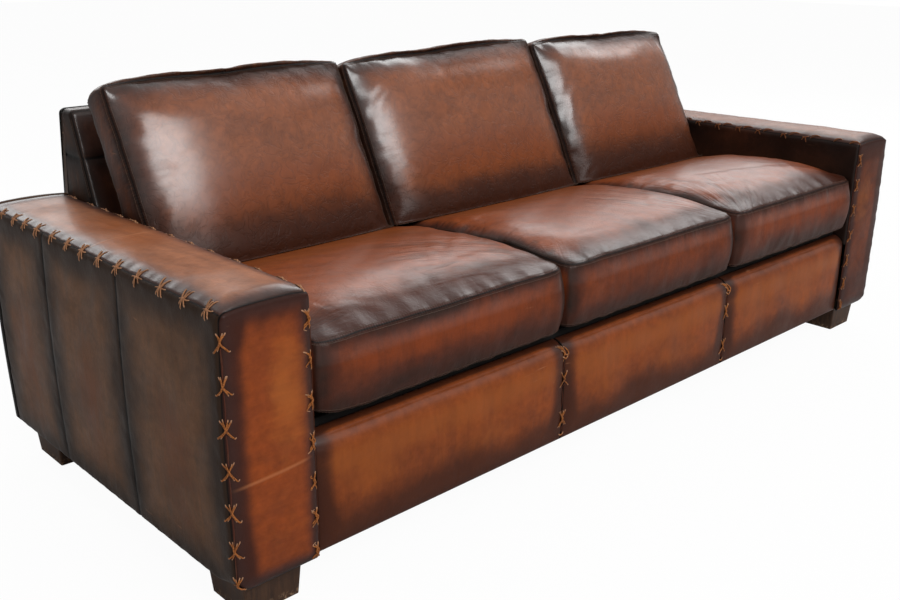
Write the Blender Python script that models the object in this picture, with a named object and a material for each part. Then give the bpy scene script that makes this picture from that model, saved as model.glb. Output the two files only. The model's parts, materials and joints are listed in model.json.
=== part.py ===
"""Worn leather three-seat sofa: hardwood frame, zigzag springs, laced leather panels, loose cushions.

Metres, +Z up. X runs along the sofa, -Y is its front, and the feet stand on Z = 0.
Places across the depth are given as a distance behind the front of the arms.
"""

import math

import bmesh
import bpy
from mathutils import Matrix, Vector

# Overall sizes
LENGTH = 2.440  # over the two arms
DEPTH = 1.004  # front of the arms to the outside back
FRONT_Y = -0.4940  # places the middle of the whole depth at Y = 0
GAP = 0.0003  # left between pieces that touch

# Arms
ARM_WIDTH = 0.189
ARM_HEIGHT = 0.622  # at the laced edges of the top
ARM_CROWN = 0.018  # rise of the padded top above its edges, at the front
ARM_REAR_CROWN = 0.006  # the same at the rear
ARM_EDGE = 0.013  # radius along the laced edges
ARM_FACE_EDGE = 0.010  # radius round the front
ARM_HEM_EDGE = 0.012  # radius along the lower outer edge
ARM_CORNER_EDGE = 0.036  # the same right at the front, where the leather is pulled round
ARM_CORNER_DEPTH = 0.060
ARM_PUFF = 0.007  # swell of the front and of the outer side
ARM_FRONT_STEPS = ((0.022, 0.65), (0.030, 0.35))  # inset and its share of the swell
PANEL = 0.022  # leather with the padding behind it
ARM_TOP_PAD = 0.030
INNER_PANEL_LOW = 0.3005  # lower edge of the panel facing the seat

# Seat
HEM_Z = 0.080  # lower edge of all the leather
RAIL_TOP = 0.322  # top of the front rail's leather
RAIL_SEAMS = (-0.319, 0.366)
RAIL_SETBACK = 0.010
RAIL_PAD = 0.035
RAIL_EDGE = 0.030
RAIL_PUFF = 0.012
RAIL_END_EDGE = 0.009
RAIL_FLATNESS = (2.0, 2.0, 2.0)  # powers of a crown's fall along X, Y and Z
DECK_Z = 0.3362
DECK_THICKNESS = 0.010
DECK_DEPTH = 0.752
DUST_COVER_THICKNESS = 0.003
EDGE_ROLL = (0.0461, 0.0585)  # front and rear of the padded roll on the front rail
EDGE_ROLL_RADIUS = 0.005
SEAT_JOINTS = (-0.327, 0.366)  # where the seat cushions meet
SEAT_TOP_SEAM = 0.515
SEAT_CROWN = 0.036
SEAT_FRONT = -0.004
SEAT_FRONT_PUFF = 0.012
SEAT_DEPTH = 0.740
SEAT_EDGE = 0.020
SEAT_TOP_FLATNESS = (6.0, 2.2, 2.0)
SEAT_FRONT_FLATNESS = (4.0, 2.0, 2.0)
SEAT_CUTS = (8, 7, 3)  # steps along X, Y and Z
CUSHION_SMOOTHING = 50  # degrees between faces that still shade as one

# Back cushions: a boxed cushion leaning back, with its lower front seam at BACK_SEAM_FOOT
BACK_JOINTS = (-0.368, 0.365)
BACK_SEAM_FOOT = (0.565, 0.505)  # behind the arm fronts, above the floor
BACK_LEAN = math.atan(0.5)
BACK_SEAM_HEIGHT = 0.436
BACK_RISE = (-0.002, 0.010, 0.016)  # each cushion stands a little differently
BACK_TILT = (0.006, 0.011, 0.000)  # and rises towards its right-hand end
BACK_BOXING = 0.090
BACK_FRONT_CROWN = 0.055
BACK_REAR_CROWN = 0.058
BACK_TOP_CROWN = 0.030
BACK_EDGE = 0.016
BACK_FACE_FLATNESS = (3.0, 2.0, 2.6)
BACK_TOP_FLATNESS = (10.0, 2.0, 2.0)
BACK_CUTS = (8, 2, 7)
BACK_TUCK = 0.080  # length cut off where the cushion sits on the seat
CONTACT_SLOPE = -0.25  # seat and back cushions meet on this slope
CUSHION_CLEARANCE = 0.0015

# Back frame: a wedge with a leaning front and a nearly upright rear
WEDGE_FRONT = (0.848, 0.618)  # a point on the leaning front
WEDGE_LEAN = 0.345
WEDGE_TOP = 0.827
WEDGE_FOOT = 0.360
WEDGE_EDGE = 0.014
OUTSIDE_BACK = 0.025  # thickness of the outside back
OUTSIDE_BACK_EDGE = 0.008
OUTSIDE_BACK_BEND = 0.642  # above this height it leans forward
OUTSIDE_BACK_LEAN = 0.100

# Hardwood frame
BOARD = 0.030
RAIL_WOOD_LOW = 0.084
RAIL_WOOD_TOP = 0.300
FRONT_RAIL_PLACE = 0.0455
REAR_RAIL_PLACE = 0.755
POST_WIDTH = 0.060
POST_DEPTH = 0.090
FRONT_POST_PLACE = 0.0225
REAR_POST_PLACE = 0.850
ARM_BOARD_LOW = 0.5605
STRETCHER_PLACES = (-0.345, 0.345)
STRETCHER_HEIGHT = 0.066
ARM_WOOD_PLAY = 0.0005  # between the wood and the panels that cover it
UPRIGHT_PLACES = (-0.9933, 0.0, 0.9933)
UPRIGHT_TOP = 0.772
UPRIGHT_KNEE = 0.350  # below this height the uprights stand straight at the front

# Springs
SPRINGS_PER_SEAT = 3
SPRING_WIRE = 0.002  # radius
SPRING_HALF_WIDTH = 0.019
SPRING_LOOPS = 20
SPRING_BEND = 0.45  # how far a bend reaches past the bars, in steps
SPRING_ENDS = (0.061, 0.768)

# Feet and their bolts
FOOT_TOP = (0.132, 0.134)  # width and depth
FOOT_BOTTOM = (0.119, 0.121)
FOOT_EDGE = 0.004
FOOT_PLACES = (("front", 0.0905), ("rear", 0.8990))  # middles, behind the arm fronts
BOLT_SEGMENTS = 12
BOLT_RADIUS = 0.004
BOLT_PLAY = 0.0003
CUT_PLAY = 0.010  # how far a drill runs past the face it enters
BOLT_LOW = 0.030
BOLT_HIGH = 0.150

LEATHER = ("saddle_leather", (0.235, 0.082, 0.030), 0.42, 0.0)
DARK_LEATHER = ("burnished_leather", (0.060, 0.030, 0.018), 0.38, 0.0)
HARDWOOD = ("frame_hardwood", (0.420, 0.270, 0.140), 0.70, 0.0)
FOOT_WOOD = ("stained_foot_wood", (0.040, 0.022, 0.014), 0.50, 0.0)
SPRING_STEEL = ("spring_steel", (0.300, 0.290, 0.280), 0.40, 1.0)
BOLT_STEEL = ("zinc_steel", (0.560, 0.560, 0.540), 0.35, 1.0)
DECK_CLOTH = ("deck_cloth", (0.050, 0.042, 0.036), 0.95, 0.0)
DUST_CLOTH = ("dust_cloth", (0.020, 0.020, 0.020), 0.95, 0.0)

HALF = LENGTH / 2
INNER = HALF - ARM_WIDTH  # half the room between the arms
ARM_MIDDLE = HALF - ARM_WIDTH / 2
REAR_INSIDE = DEPTH - OUTSIDE_BACK - GAP  # where the frame ends at the rear
SIDES = (("left", -1), ("right", 1))
SEATS = ("left", "middle", "right")
CLOSE = 1e-5  # points nearer than this count as one place


# ---------------------------------------------------------------- small tools


def behind_front(depth):
    """Y of a place that lies depth behind the front of the arms."""
    return FRONT_Y + depth


def finish(name, bm, material, smooth_angle=40):
    """Turn a bmesh into a named object with its material."""
    bmesh.ops.recalc_face_normals(bm, faces=bm.faces)
    mesh = bpy.data.meshes.new(name)
    bm.to_mesh(mesh)
    bm.free()
    mesh.shade_smooth()
    mesh.set_sharp_from_angle(angle=math.radians(smooth_angle))
    mesh.materials.append(surface(*material))
    part = bpy.data.objects.new(name, mesh)
    bpy.context.scene.collection.objects.link(part)
    return part


def surface(name, colour, roughness, metallic):
    """One Principled material for each finish, made when first asked for."""
    material = bpy.data.materials.get(name)
    if material:
        return material
    material = bpy.data.materials.new(name)
    material.use_nodes = True
    shader = material.node_tree.nodes["Principled BSDF"]
    shader.inputs["Base Color"].default_value = (*colour, 1.0)
    shader.inputs["Roughness"].default_value = roughness
    shader.inputs["Metallic"].default_value = metallic
    return material


def block_mesh(low, high):
    """A plain box between two corners."""
    low = Vector(low)
    high = Vector(high)
    bm = bmesh.new()
    bmesh.ops.create_cube(bm, size=1.0)
    bmesh.ops.scale(bm, vec=high - low, verts=bm.verts)
    bmesh.ops.translate(bm, vec=(low + high) / 2, verts=bm.verts)
    return bm


def box_mesh(low, high):
    """A plain box between two corners given as (x, depth, z)."""
    return block_mesh(
        (low[0], behind_front(low[1]), low[2]),
        (high[0], behind_front(high[1]), high[2]),
    )


def board(name, low, high, material=HARDWOOD):
    return finish(name, box_mesh(low, high), material)


def round_edges(bm, edges, radius, segments=3):
    bmesh.ops.bevel(
        bm,
        geom=list(edges),
        offset=radius,
        segments=segments,
        profile=0.5,
        affect="EDGES",
        clamp_overlap=True,
    )


def add_cuts(bm, axis, places):
    """Rows of points across the solid, so that it can be swelled."""
    for place in places:
        point = Vector((0.0, 0.0, 0.0))
        point[axis] = place
        normal = Vector((0.0, 0.0, 0.0))
        normal[axis] = 1.0
        everything = list(bm.verts) + list(bm.edges) + list(bm.faces)
        bmesh.ops.bisect_plane(bm, geom=everything, plane_co=point, plane_no=normal, dist=CLOSE)


def spread(low, high, count):
    """Places that divide the stretch from low to high, closer together near its ends."""
    middle = (low + high) / 2
    half = (high - low) / 2
    return [middle - half * math.cos(math.pi * step / count) for step in range(1, count)]


def keep_below(bm, point, normal):
    """Cut the solid on a plane, drop what lies on the normal's side, and close the cut."""
    everything = list(bm.verts) + list(bm.edges) + list(bm.faces)
    bmesh.ops.bisect_plane(
        bm,
        geom=everything,
        plane_co=point,
        plane_no=normal,
        dist=CLOSE / 10,
        clear_outer=True,
    )
    open_edges = [edge for edge in bm.edges if edge.is_boundary]
    bmesh.ops.holes_fill(bm, edges=open_edges, sides=0)


def swell(bm, low, high, crowns):
    """Crown the faces of a block.

    crowns maps (axis, direction) to the height of the crown and three powers, one for each
    axis: the higher the power, the flatter the crown stays along that axis.
    """
    middle = (low + high) / 2
    half = (high - low) / 2
    for vert in bm.verts:
        rel = [(vert.co[i] - middle[i]) / half[i] for i in range(3)]
        shift = Vector((0.0, 0.0, 0.0))
        for (axis, direction), (height, powers) in crowns.items():
            fall = max(0.0, rel[axis] * direction)
            for other in range(3):
                if other != axis:
                    fall *= max(0.0, 1.0 - abs(rel[other]) ** powers[other])
            shift[axis] += direction * height * fall
        vert.co += shift


def padded_block(low, high, radius, crowns, cuts, segments=3):
    """A rounded, crowned block in its own axes; cuts is the number of steps each way."""
    low = Vector(low)
    high = Vector(high)
    bm = block_mesh(low, high)
    round_edges(bm, bm.edges, radius, segments)
    for axis, count in enumerate(cuts):
        add_cuts(bm, axis, spread(low[axis] + radius, high[axis] - radius, count))
    swell(bm, low, high, crowns)
    return bm


def seat_spans(joints):
    """The three (low x, high x) spans between the arms."""
    edges = [-INNER, *joints, INNER]
    return [(edges[i] + CUSHION_CLEARANCE, edges[i + 1] - CUSHION_CLEARANCE) for i in range(3)]


# ---------------------------------------------------------------- arms


def arc(centre, radius, start, end, steps):
    """Points on an arc, in degrees from +X towards +Z, both ends included."""
    points = []
    for step in range(steps + 1):
        angle = math.radians(start + (end - start) * step / steps)
        points.append((centre[0] + radius * math.cos(angle), centre[1] + radius * math.sin(angle)))
    return points


def arm_section(crown, hem_edge):
    """Cross-section of the left arm as (x, z), counter-clockwise seen from the front."""
    outer = -HALF
    inner = -INNER
    low = HEM_Z
    high = ARM_HEIGHT - ARM_EDGE
    points = [(inner, low)]
    points += arc((inner - ARM_EDGE, high), ARM_EDGE, 0, 70, 2)
    left = outer + ARM_EDGE
    right = inner - ARM_EDGE
    for step in range(1, 6):
        across = step / 6
        rise = crown * (1 - (2 * across - 1) ** 2)
        points.append((right + (left - right) * across, ARM_HEIGHT + rise))
    points += arc((outer + ARM_EDGE, high), ARM_EDGE, 110, 180, 2)
    side_low = low + hem_edge
    for step in range(1, 4):
        down = step / 4
        points.append((outer - ARM_PUFF * math.sin(math.pi * down), high + (side_low - high) * down))
    points += arc((outer + hem_edge, side_low), hem_edge, 180, 270, 3)
    return points


def flip(points):
    """The same section for the right-hand side."""
    return [(-x, z) for x, z in reversed(points)]


def loft_sections(stations):
    """A solid through (depth, section) stations, each section having as many points."""
    bm = bmesh.new()
    rings = []
    for depth, points in stations:
        rings.append([bm.verts.new((x, behind_front(depth), z)) for x, z in points])
    for ring, following in zip(rings, rings[1:]):
        for index in range(len(ring)):
            after = (index + 1) % len(ring)
            bm.faces.new((ring[index], ring[after], following[after], following[index]))
    front = bm.faces.new(rings[0])
    rear = bm.faces.new(rings[-1])
    bmesh.ops.recalc_face_normals(bm, faces=bm.faces)
    return bm, front, rear


def arm_solid(side):
    """The whole outer form of one arm, with a rounded and slightly swollen front."""
    stations = [
        (0.0, arm_section(ARM_CROWN, ARM_CORNER_EDGE)),
        (ARM_CORNER_DEPTH, arm_section(ARM_CROWN, ARM_HEM_EDGE)),
        (REAR_INSIDE, arm_section(ARM_REAR_CROWN, ARM_HEM_EDGE)),
    ]
    if side > 0:
        stations = [(depth, flip(points)) for depth, points in stations]
    bm, front, _ = loft_sections(stations)
    round_edges(bm, front.edges, ARM_FACE_EDGE, 2)
    front = min(bm.faces, key=lambda face: (round(face.calc_center_median().y, 5), -face.calc_area()))
    middle = Vector((side * ARM_MIDDLE, 0.0, (HEM_Z + ARM_HEIGHT) / 2))
    for inset, swelling in ARM_FRONT_STEPS:
        bmesh.ops.inset_region(bm, faces=[front], thickness=0.0)
        for vert in front.verts:
            draw_in(vert, middle, inset)
            vert.co.y -= ARM_PUFF * swelling
    return bm


def draw_in(vert, middle, inset):
    """Move a point of an arm's front towards its middle, by inset at the edges."""
    vert.co.x = middle.x + (vert.co.x - middle.x) * (1 - inset / (ARM_WIDTH / 2))
    vert.co.z = middle.z + (vert.co.z - middle.z) * (1 - inset / (ARM_HEIGHT - HEM_Z) * 2)


def cut_panel(name, solid, planes, material):
    """One leather panel: the arm's form, kept on one side of each plane."""
    bm = solid.copy()
    for point, normal in planes:
        keep_below(bm, Vector((point[0], behind_front(point[1]), point[2])), Vector(normal))
    return finish(name, bm, material)


def make_arm_panels(label, side):
    """Front, top, outer and inner panels, meeting at hairline laced edges."""
    solid = arm_solid(side)
    out = Vector((side, 0.0, 0.0))
    face_end = (0.0, PANEL, 0.0)
    rest_start = ((0.0, PANEL + GAP, 0.0), (0.0, -1.0, 0.0))
    top_low = ARM_HEIGHT - ARM_TOP_PAD
    below_top = ((0.0, 0.0, top_low - GAP), (0.0, 0.0, 1.0))
    cut_panel(f"arm_front_panel_{label}", solid, [(face_end, (0.0, 1.0, 0.0))], LEATHER)
    cut_panel(
        f"arm_top_panel_{label}",
        solid,
        [rest_start, ((0.0, 0.0, top_low), (0.0, 0.0, -1.0))],
        LEATHER,
    )
    cut_panel(
        f"arm_outer_panel_{label}",
        solid,
        [rest_start, below_top, ((side * (HALF - PANEL), 0.0, 0.0), -out)],
        DARK_LEATHER,
    )
    cut_panel(
        f"arm_inner_panel_{label}",
        solid,
        [
            rest_start,
            below_top,
            ((side * (INNER + PANEL), 0.0, 0.0), out),
            ((0.0, 0.0, INNER_PANEL_LOW), (0.0, 0.0, -1.0)),
        ],
        DARK_LEATHER,
    )
    solid.free()


# ---------------------------------------------------------------- front rail and deck


def make_rail_panels():
    """Three puffed leather panels between the arms, laced to each other."""
    edges = [-INNER, *RAIL_SEAMS, INNER]
    for index, label in enumerate(SEATS):
        low = Vector((edges[index] + GAP, behind_front(RAIL_SETBACK), HEM_Z))
        high = Vector((edges[index + 1] - GAP, behind_front(RAIL_SETBACK + RAIL_PAD), RAIL_TOP))
        bm = block_mesh(low, high)
        front_top = [e for e in bm.edges if is_front_edge(e, low, high, top=True)]
        round_edges(bm, front_top, RAIL_EDGE, 4)
        front_rest = [e for e in bm.edges if is_front_edge(e, low, high, top=False)]
        round_edges(bm, front_rest, RAIL_END_EDGE, 2)
        add_cuts(bm, 0, spread(low.x, high.x, 6))
        add_cuts(bm, 2, spread(low.z, high.z, 4))
        swell(bm, low, high, {(1, -1): (RAIL_PUFF, RAIL_FLATNESS)})
        finish(f"front_rail_panel_{label}", bm, LEATHER)


def is_front_edge(edge, low, high, top):
    """True for an edge of the front face: the long top one, or else the lower and upright ones."""
    ends = [vert.co for vert in edge.verts]
    if any(end.y > low[1] + CLOSE for end in ends):
        return False
    at_top = all(end.z > high[2] - CLOSE for end in ends)
    if top:
        return at_top
    at_bottom = all(end.z < low[2] + CLOSE for end in ends)
    return at_bottom or abs(ends[0].z - ends[1].z) > RAIL_EDGE


def make_deck():
    """The cloth-covered deck on the springs, the roll before it, and the dust cloth below."""
    reach = INNER - 2 * GAP
    board(
        "seat_deck",
        (-reach, EDGE_ROLL[1] + GAP, DECK_Z),
        (reach, DECK_DEPTH, DECK_Z + DECK_THICKNESS),
        DECK_CLOTH,
    )
    roll = box_mesh(
        (-reach, EDGE_ROLL[0], RAIL_WOOD_TOP + GAP),
        (reach, EDGE_ROLL[1], DECK_Z + DECK_THICKNESS),
    )
    along = [edge for edge in roll.edges if abs(edge.verts[0].co.x - edge.verts[1].co.x) > reach]
    round_edges(roll, along, EDGE_ROLL_RADIUS, 3)
    finish("front_edge_roll", roll, DECK_CLOTH)
    edge = INNER + PANEL - DUST_COVER_THICKNESS
    board(
        "dust_cover",
        (-edge, FRONT_RAIL_PLACE, RAIL_WOOD_LOW - GAP - DUST_COVER_THICKNESS),
        (edge, REAR_INSIDE, RAIL_WOOD_LOW - GAP),
        DUST_CLOTH,
    )


# ---------------------------------------------------------------- cushions


def contact_plane(offset):
    """The slope on which back cushions sit on the seat: a point, moved by offset, and its normal."""
    point = Vector((0.0, behind_front(BACK_SEAM_FOOT[0]), BACK_SEAM_FOOT[1] + offset))
    normal = Vector((0.0, -CONTACT_SLOPE, 1.0)).normalized()
    return point, normal


def make_seat_cushions():
    for label, (low_x, high_x) in zip(SEATS, seat_spans(SEAT_JOINTS)):
        low = (low_x, behind_front(SEAT_FRONT), DECK_Z + DECK_THICKNESS + GAP)
        high = (high_x, behind_front(SEAT_DEPTH), SEAT_TOP_SEAM)
        crowns = {
            (2, 1): (SEAT_CROWN, SEAT_TOP_FLATNESS),
            (1, -1): (SEAT_FRONT_PUFF, SEAT_FRONT_FLATNESS),
        }
        bm = padded_block(low, high, SEAT_EDGE, crowns, SEAT_CUTS)
        point, normal = contact_plane(-GAP / 2)
        keep_below(bm, point, normal)
        finish(f"seat_cushion_{label}", bm, LEATHER, CUSHION_SMOOTHING)


def make_back_cushions():
    """Boxed cushions that lean on the inside back and sit on the rear of the seat."""
    turn = Matrix.Rotation(-BACK_LEAN, 4, "X")
    foot = Vector((0.0, behind_front(BACK_SEAM_FOOT[0]), BACK_SEAM_FOOT[1]))
    stands = zip(SEATS, seat_spans(BACK_JOINTS), BACK_RISE, BACK_TILT)
    for label, (low_x, high_x), rise, tilt in stands:
        height = BACK_SEAM_HEIGHT + rise
        low = (low_x, 0.0, -BACK_TUCK)
        high = (high_x, BACK_BOXING, height)
        crowns = {
            (1, -1): (BACK_FRONT_CROWN, BACK_FACE_FLATNESS),
            (1, 1): (BACK_REAR_CROWN, BACK_FACE_FLATNESS),
            (2, 1): (BACK_TOP_CROWN, BACK_TOP_FLATNESS),
        }
        bm = padded_block(low, high, BACK_EDGE, crowns, BACK_CUTS)
        tilt_block(bm, (low_x + high_x) / 2, tilt / (high_x - low_x) * 2 / height)
        bmesh.ops.transform(bm, matrix=Matrix.Translation(foot) @ turn, verts=bm.verts)
        point, normal = contact_plane(GAP / 2)
        keep_below(bm, point, -normal)
        finish(f"back_cushion_{label}", bm, LEATHER, CUSHION_SMOOTHING)


def tilt_block(bm, middle_x, slope):
    """Raise one end of a standing block and lower the other, most at its top."""
    for vert in bm.verts:
        vert.co.z *= 1 + slope * (vert.co.x - middle_x)


# ---------------------------------------------------------------- back


def wedge_front(height):
    """Depth of the back's leaning front at a height."""
    return WEDGE_FRONT[0] + WEDGE_LEAN * (height - WEDGE_FRONT[1])


def back_rear(height):
    """Depth of the outside back's inner face at a height."""
    return REAR_INSIDE - OUTSIDE_BACK_LEAN * max(0.0, height - OUTSIDE_BACK_BEND)


def profile_solid(profile, low_x, high_x):
    """Extrude a (depth, z) profile along X."""
    bm = bmesh.new()
    ring = [bm.verts.new((low_x, behind_front(depth), z)) for depth, z in profile]
    face = bm.faces.new(ring)
    grown = bmesh.ops.extrude_face_region(bm, geom=[face])["geom"]
    moved = [item for item in grown if isinstance(item, bmesh.types.BMVert)]
    bmesh.ops.translate(bm, vec=(high_x - low_x, 0.0, 0.0), verts=moved)
    bmesh.ops.recalc_face_normals(bm, faces=bm.faces)
    return bm


def wedge_profile():
    return [
        (wedge_front(WEDGE_FOOT), WEDGE_FOOT),
        (back_rear(WEDGE_FOOT), WEDGE_FOOT),
        (back_rear(OUTSIDE_BACK_BEND), OUTSIDE_BACK_BEND),
        (back_rear(WEDGE_TOP), WEDGE_TOP),
        (wedge_front(WEDGE_TOP), WEDGE_TOP),
    ]


def is_seen_wedge_edge(edge):
    """The wedge's front, top-front and end edges, which are rounded over padding."""
    ends = [vert.co for vert in edge.verts]
    on_front = all(abs(end.y - behind_front(wedge_front(end.z))) < CLOSE for end in ends)
    at_foot = all(end.z < WEDGE_FOOT + CLOSE for end in ends)
    at_top = all(end.z > WEDGE_TOP - CLOSE for end in ends)
    at_rear = all(abs(end.y - behind_front(back_rear(end.z))) < CLOSE for end in ends)
    return (on_front or at_top) and not at_foot and not at_rear


def make_inside_back():
    """The padded front of the back, its two ends and its top band, round a hollow for the frame."""
    solid = profile_solid(wedge_profile(), -INNER, INNER)
    round_edges(solid, [e for e in solid.edges if is_seen_wedge_edge(e)], WEDGE_EDGE, 3)
    lean = Vector((0.0, -1.0, WEDGE_LEAN)).normalized()
    on_front = Vector((0.0, behind_front(WEDGE_FRONT[0]), WEDGE_FRONT[1]))
    front_cut = on_front - lean * PANEL
    top_cut = Vector((0.0, 0.0, WEDGE_TOP - PANEL))
    up = Vector((0.0, 0.0, 1.0))

    front = solid.copy()
    keep_below(front, front_cut, -lean)
    finish("inside_back_panel", front, DARK_LEATHER)

    keep_below(solid, front_cut - lean * GAP, lean)
    top = solid.copy()
    keep_below(top, top_cut, -up)
    finish("back_top_panel", top, DARK_LEATHER)

    keep_below(solid, top_cut - up * GAP, up)
    for label, side in SIDES:
        end = solid.copy()
        keep_below(end, Vector((side * (INNER - PANEL), 0.0, 0.0)), Vector((-side, 0.0, 0.0)))
        finish(f"back_end_panel_{label}", end, DARK_LEATHER)
    solid.free()


def outside_back_outline():
    """Outline of the rear panel as (x, z): both arms' sections joined under the raised back."""
    section = arm_section(ARM_REAR_CROWN, ARM_HEM_EDGE)
    over_arm = [point for point in section[1:] if point[0] < -INNER - ARM_EDGE * 0.9]
    corner = (-INNER + WEDGE_EDGE, WEDGE_TOP - WEDGE_EDGE)
    raised = arc(corner, WEDGE_EDGE, 180, 90, 3)
    left_side = list(reversed(over_arm)) + [(-INNER, ARM_HEIGHT)] + raised
    return left_side + flip(left_side)


def make_outside_back():
    """One panel over the whole rear, upright up to the arms and leaning forward above them."""
    outline = outside_back_outline()
    bm, _, rear = loft_sections([(REAR_INSIDE + GAP, outline), (DEPTH, outline)])
    round_edges(bm, rear.edges, OUTSIDE_BACK_EDGE, 2)
    add_cuts(bm, 2, [OUTSIDE_BACK_BEND])
    for vert in bm.verts:
        raised = max(0.0, vert.co.z - OUTSIDE_BACK_BEND)
        if abs(vert.co.x) < INNER + GAP:
            vert.co.y -= OUTSIDE_BACK_LEAN * raised
    finish("outside_back_panel", bm, DARK_LEATHER)


# ---------------------------------------------------------------- hardwood frame


def drill(name, part, centre, low, high):
    """A bolt hole: a hidden round cutter and a Boolean on the part."""
    bpy.ops.mesh.primitive_cylinder_add(
        vertices=BOLT_SEGMENTS,
        radius=BOLT_RADIUS + BOLT_PLAY,
        depth=high - low,
        location=(centre[0], behind_front(centre[1]), (low + high) / 2),
    )
    cutter = bpy.context.active_object
    cutter.name = name
    cutter.hide_render = True
    cutter.display_type = "WIRE"
    cut = part.modifiers.new(name, "BOOLEAN")
    cut.operation = "DIFFERENCE"
    cut.solver = "EXACT"
    cut.object = cutter


def make_arm_frame(label, side):
    """Bottom rail, two posts and an arm board in each arm, drilled for the foot bolts."""
    near = side * (INNER + PANEL - ARM_WOOD_PLAY)
    far = side * (HALF - PANEL - ARM_WOOD_PLAY)
    low_x, high_x = min(near, far), max(near, far)
    rail_top = RAIL_WOOD_LOW + BOARD
    rail = board(
        f"arm_bottom_rail_{label}",
        (low_x, FRONT_POST_PLACE, RAIL_WOOD_LOW),
        (high_x, REAR_INSIDE - GAP, rail_top),
    )
    post_x = side * ARM_MIDDLE
    for (place, bolt_depth), depth in zip(FOOT_PLACES, (FRONT_POST_PLACE, REAR_POST_PLACE)):
        post = board(
            f"arm_{place}_post_{label}",
            (post_x - POST_WIDTH / 2, depth, rail_top + GAP),
            (post_x + POST_WIDTH / 2, depth + POST_DEPTH, ARM_BOARD_LOW - GAP),
        )
        centre = (post_x, bolt_depth)
        drill(f"hole_in_post_{place}_{label}", post, centre, rail_top - CUT_PLAY, BOLT_HIGH + GAP)
        drill(
            f"hole_in_rail_{place}_{label}",
            rail,
            centre,
            RAIL_WOOD_LOW - CUT_PLAY,
            rail_top + CUT_PLAY,
        )
    half_board = ARM_WIDTH / 2 - PANEL - ARM_WOOD_PLAY
    board(
        f"arm_board_{label}",
        (post_x - half_board, FRONT_POST_PLACE, ARM_BOARD_LOW),
        (post_x + half_board, REAR_INSIDE - GAP, ARM_HEIGHT - ARM_TOP_PAD - GAP),
    )


def make_seat_frame():
    """Rails between the arms, two stretchers and the board that carries the back."""
    reach = INNER + PANEL - ARM_WOOD_PLAY - GAP
    board(
        "front_seat_rail",
        (-reach, FRONT_RAIL_PLACE, RAIL_WOOD_LOW),
        (reach, FRONT_RAIL_PLACE + BOARD, RAIL_WOOD_TOP),
    )
    board(
        "rear_seat_rail",
        (-reach, REAR_RAIL_PLACE, RAIL_WOOD_LOW),
        (reach, REAR_RAIL_PLACE + BOARD, RAIL_WOOD_TOP),
    )
    board(
        "back_bottom_rail",
        (-reach, REAR_RAIL_PLACE + BOARD + GAP, RAIL_WOOD_LOW),
        (reach, REAR_INSIDE - GAP, RAIL_WOOD_LOW + BOARD),
    )
    for (label, _), place in zip(SIDES, STRETCHER_PLACES):
        board(
            f"seat_stretcher_{label}",
            (place - BOARD / 2, FRONT_RAIL_PLACE + BOARD + GAP, RAIL_WOOD_LOW),
            (place + BOARD / 2, REAR_RAIL_PLACE - GAP, RAIL_WOOD_LOW + STRETCHER_HEIGHT),
        )


def make_back_frame():
    """Three tapered uprights under a top rail."""
    clear = PANEL / math.cos(math.atan(WEDGE_LEAN)) + 2 * GAP
    foot = RAIL_WOOD_LOW + BOARD + GAP
    front_foot = REAR_RAIL_PLACE + BOARD + GAP
    profile = [
        (front_foot, foot),
        (REAR_INSIDE - GAP, foot),
        (REAR_INSIDE - GAP, OUTSIDE_BACK_BEND),
        (back_rear(UPRIGHT_TOP) - GAP, UPRIGHT_TOP),
        (wedge_front(UPRIGHT_TOP) + clear, UPRIGHT_TOP),
        (max(front_foot, wedge_front(UPRIGHT_KNEE) + clear), UPRIGHT_KNEE),
    ]
    for label, place in zip(SEATS, UPRIGHT_PLACES):
        bm = profile_solid(profile, place - BOARD / 2, place + BOARD / 2)
        finish(f"back_upright_{label}", bm, HARDWOOD)
    top_low = UPRIGHT_TOP + GAP
    top_high = WEDGE_TOP - PANEL - 2 * GAP
    reach = INNER - PANEL - GAP
    front = wedge_front(top_high) + clear
    rear = back_rear(top_high) - GAP
    board("back_top_rail", (-reach, front, top_low), (reach, rear, top_high))


# ---------------------------------------------------------------- springs


def spring_path(place):
    """Bars and round ends of one zigzag spring, arched up between the two seat rails."""
    start, end = SPRING_ENDS
    step = (end - start) / SPRING_LOOPS
    seat = RAIL_WOOD_TOP + SPRING_WIRE + GAP
    arch = DECK_Z - GAP - SPRING_WIRE - seat
    flat = []
    for bar in range(SPRING_LOOPS + 1):
        side = 1 if bar % 2 else -1
        depth = start + bar * step
        flat.append((-side * SPRING_HALF_WIDTH, depth))
        flat.append((side * SPRING_HALF_WIDTH, depth))
        if bar < SPRING_LOOPS:
            flat.append((side * (SPRING_HALF_WIDTH + step * SPRING_BEND), depth + step / 2))
    points = []
    for across, depth in flat:
        along = (depth - start) / (end - start)
        height = seat + arch * 4 * along * (1 - along)
        points.append((place + across, behind_front(depth), height))
    return points


def make_springs():
    for label, (low_x, high_x) in zip(SEATS, seat_spans(SEAT_JOINTS)):
        for number in range(SPRINGS_PER_SEAT):
            place = low_x + (high_x - low_x) * (number + 0.5) / SPRINGS_PER_SEAT
            points = spring_path(place)
            name = f"seat_spring_{label}_{number + 1}"
            curve = bpy.data.curves.new(name, "CURVE")
            curve.dimensions = "3D"
            curve.bevel_depth = SPRING_WIRE
            curve.bevel_resolution = 0
            curve.use_fill_caps = True
            spline = curve.splines.new("POLY")
            spline.points.add(len(points) - 1)
            for point, place_of in zip(spline.points, points):
                point.co = (*place_of, 1.0)
            curve.materials.append(surface(*SPRING_STEEL))
            spring = bpy.data.objects.new(name, curve)
            bpy.context.scene.collection.objects.link(spring)


# ---------------------------------------------------------------- feet


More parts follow.
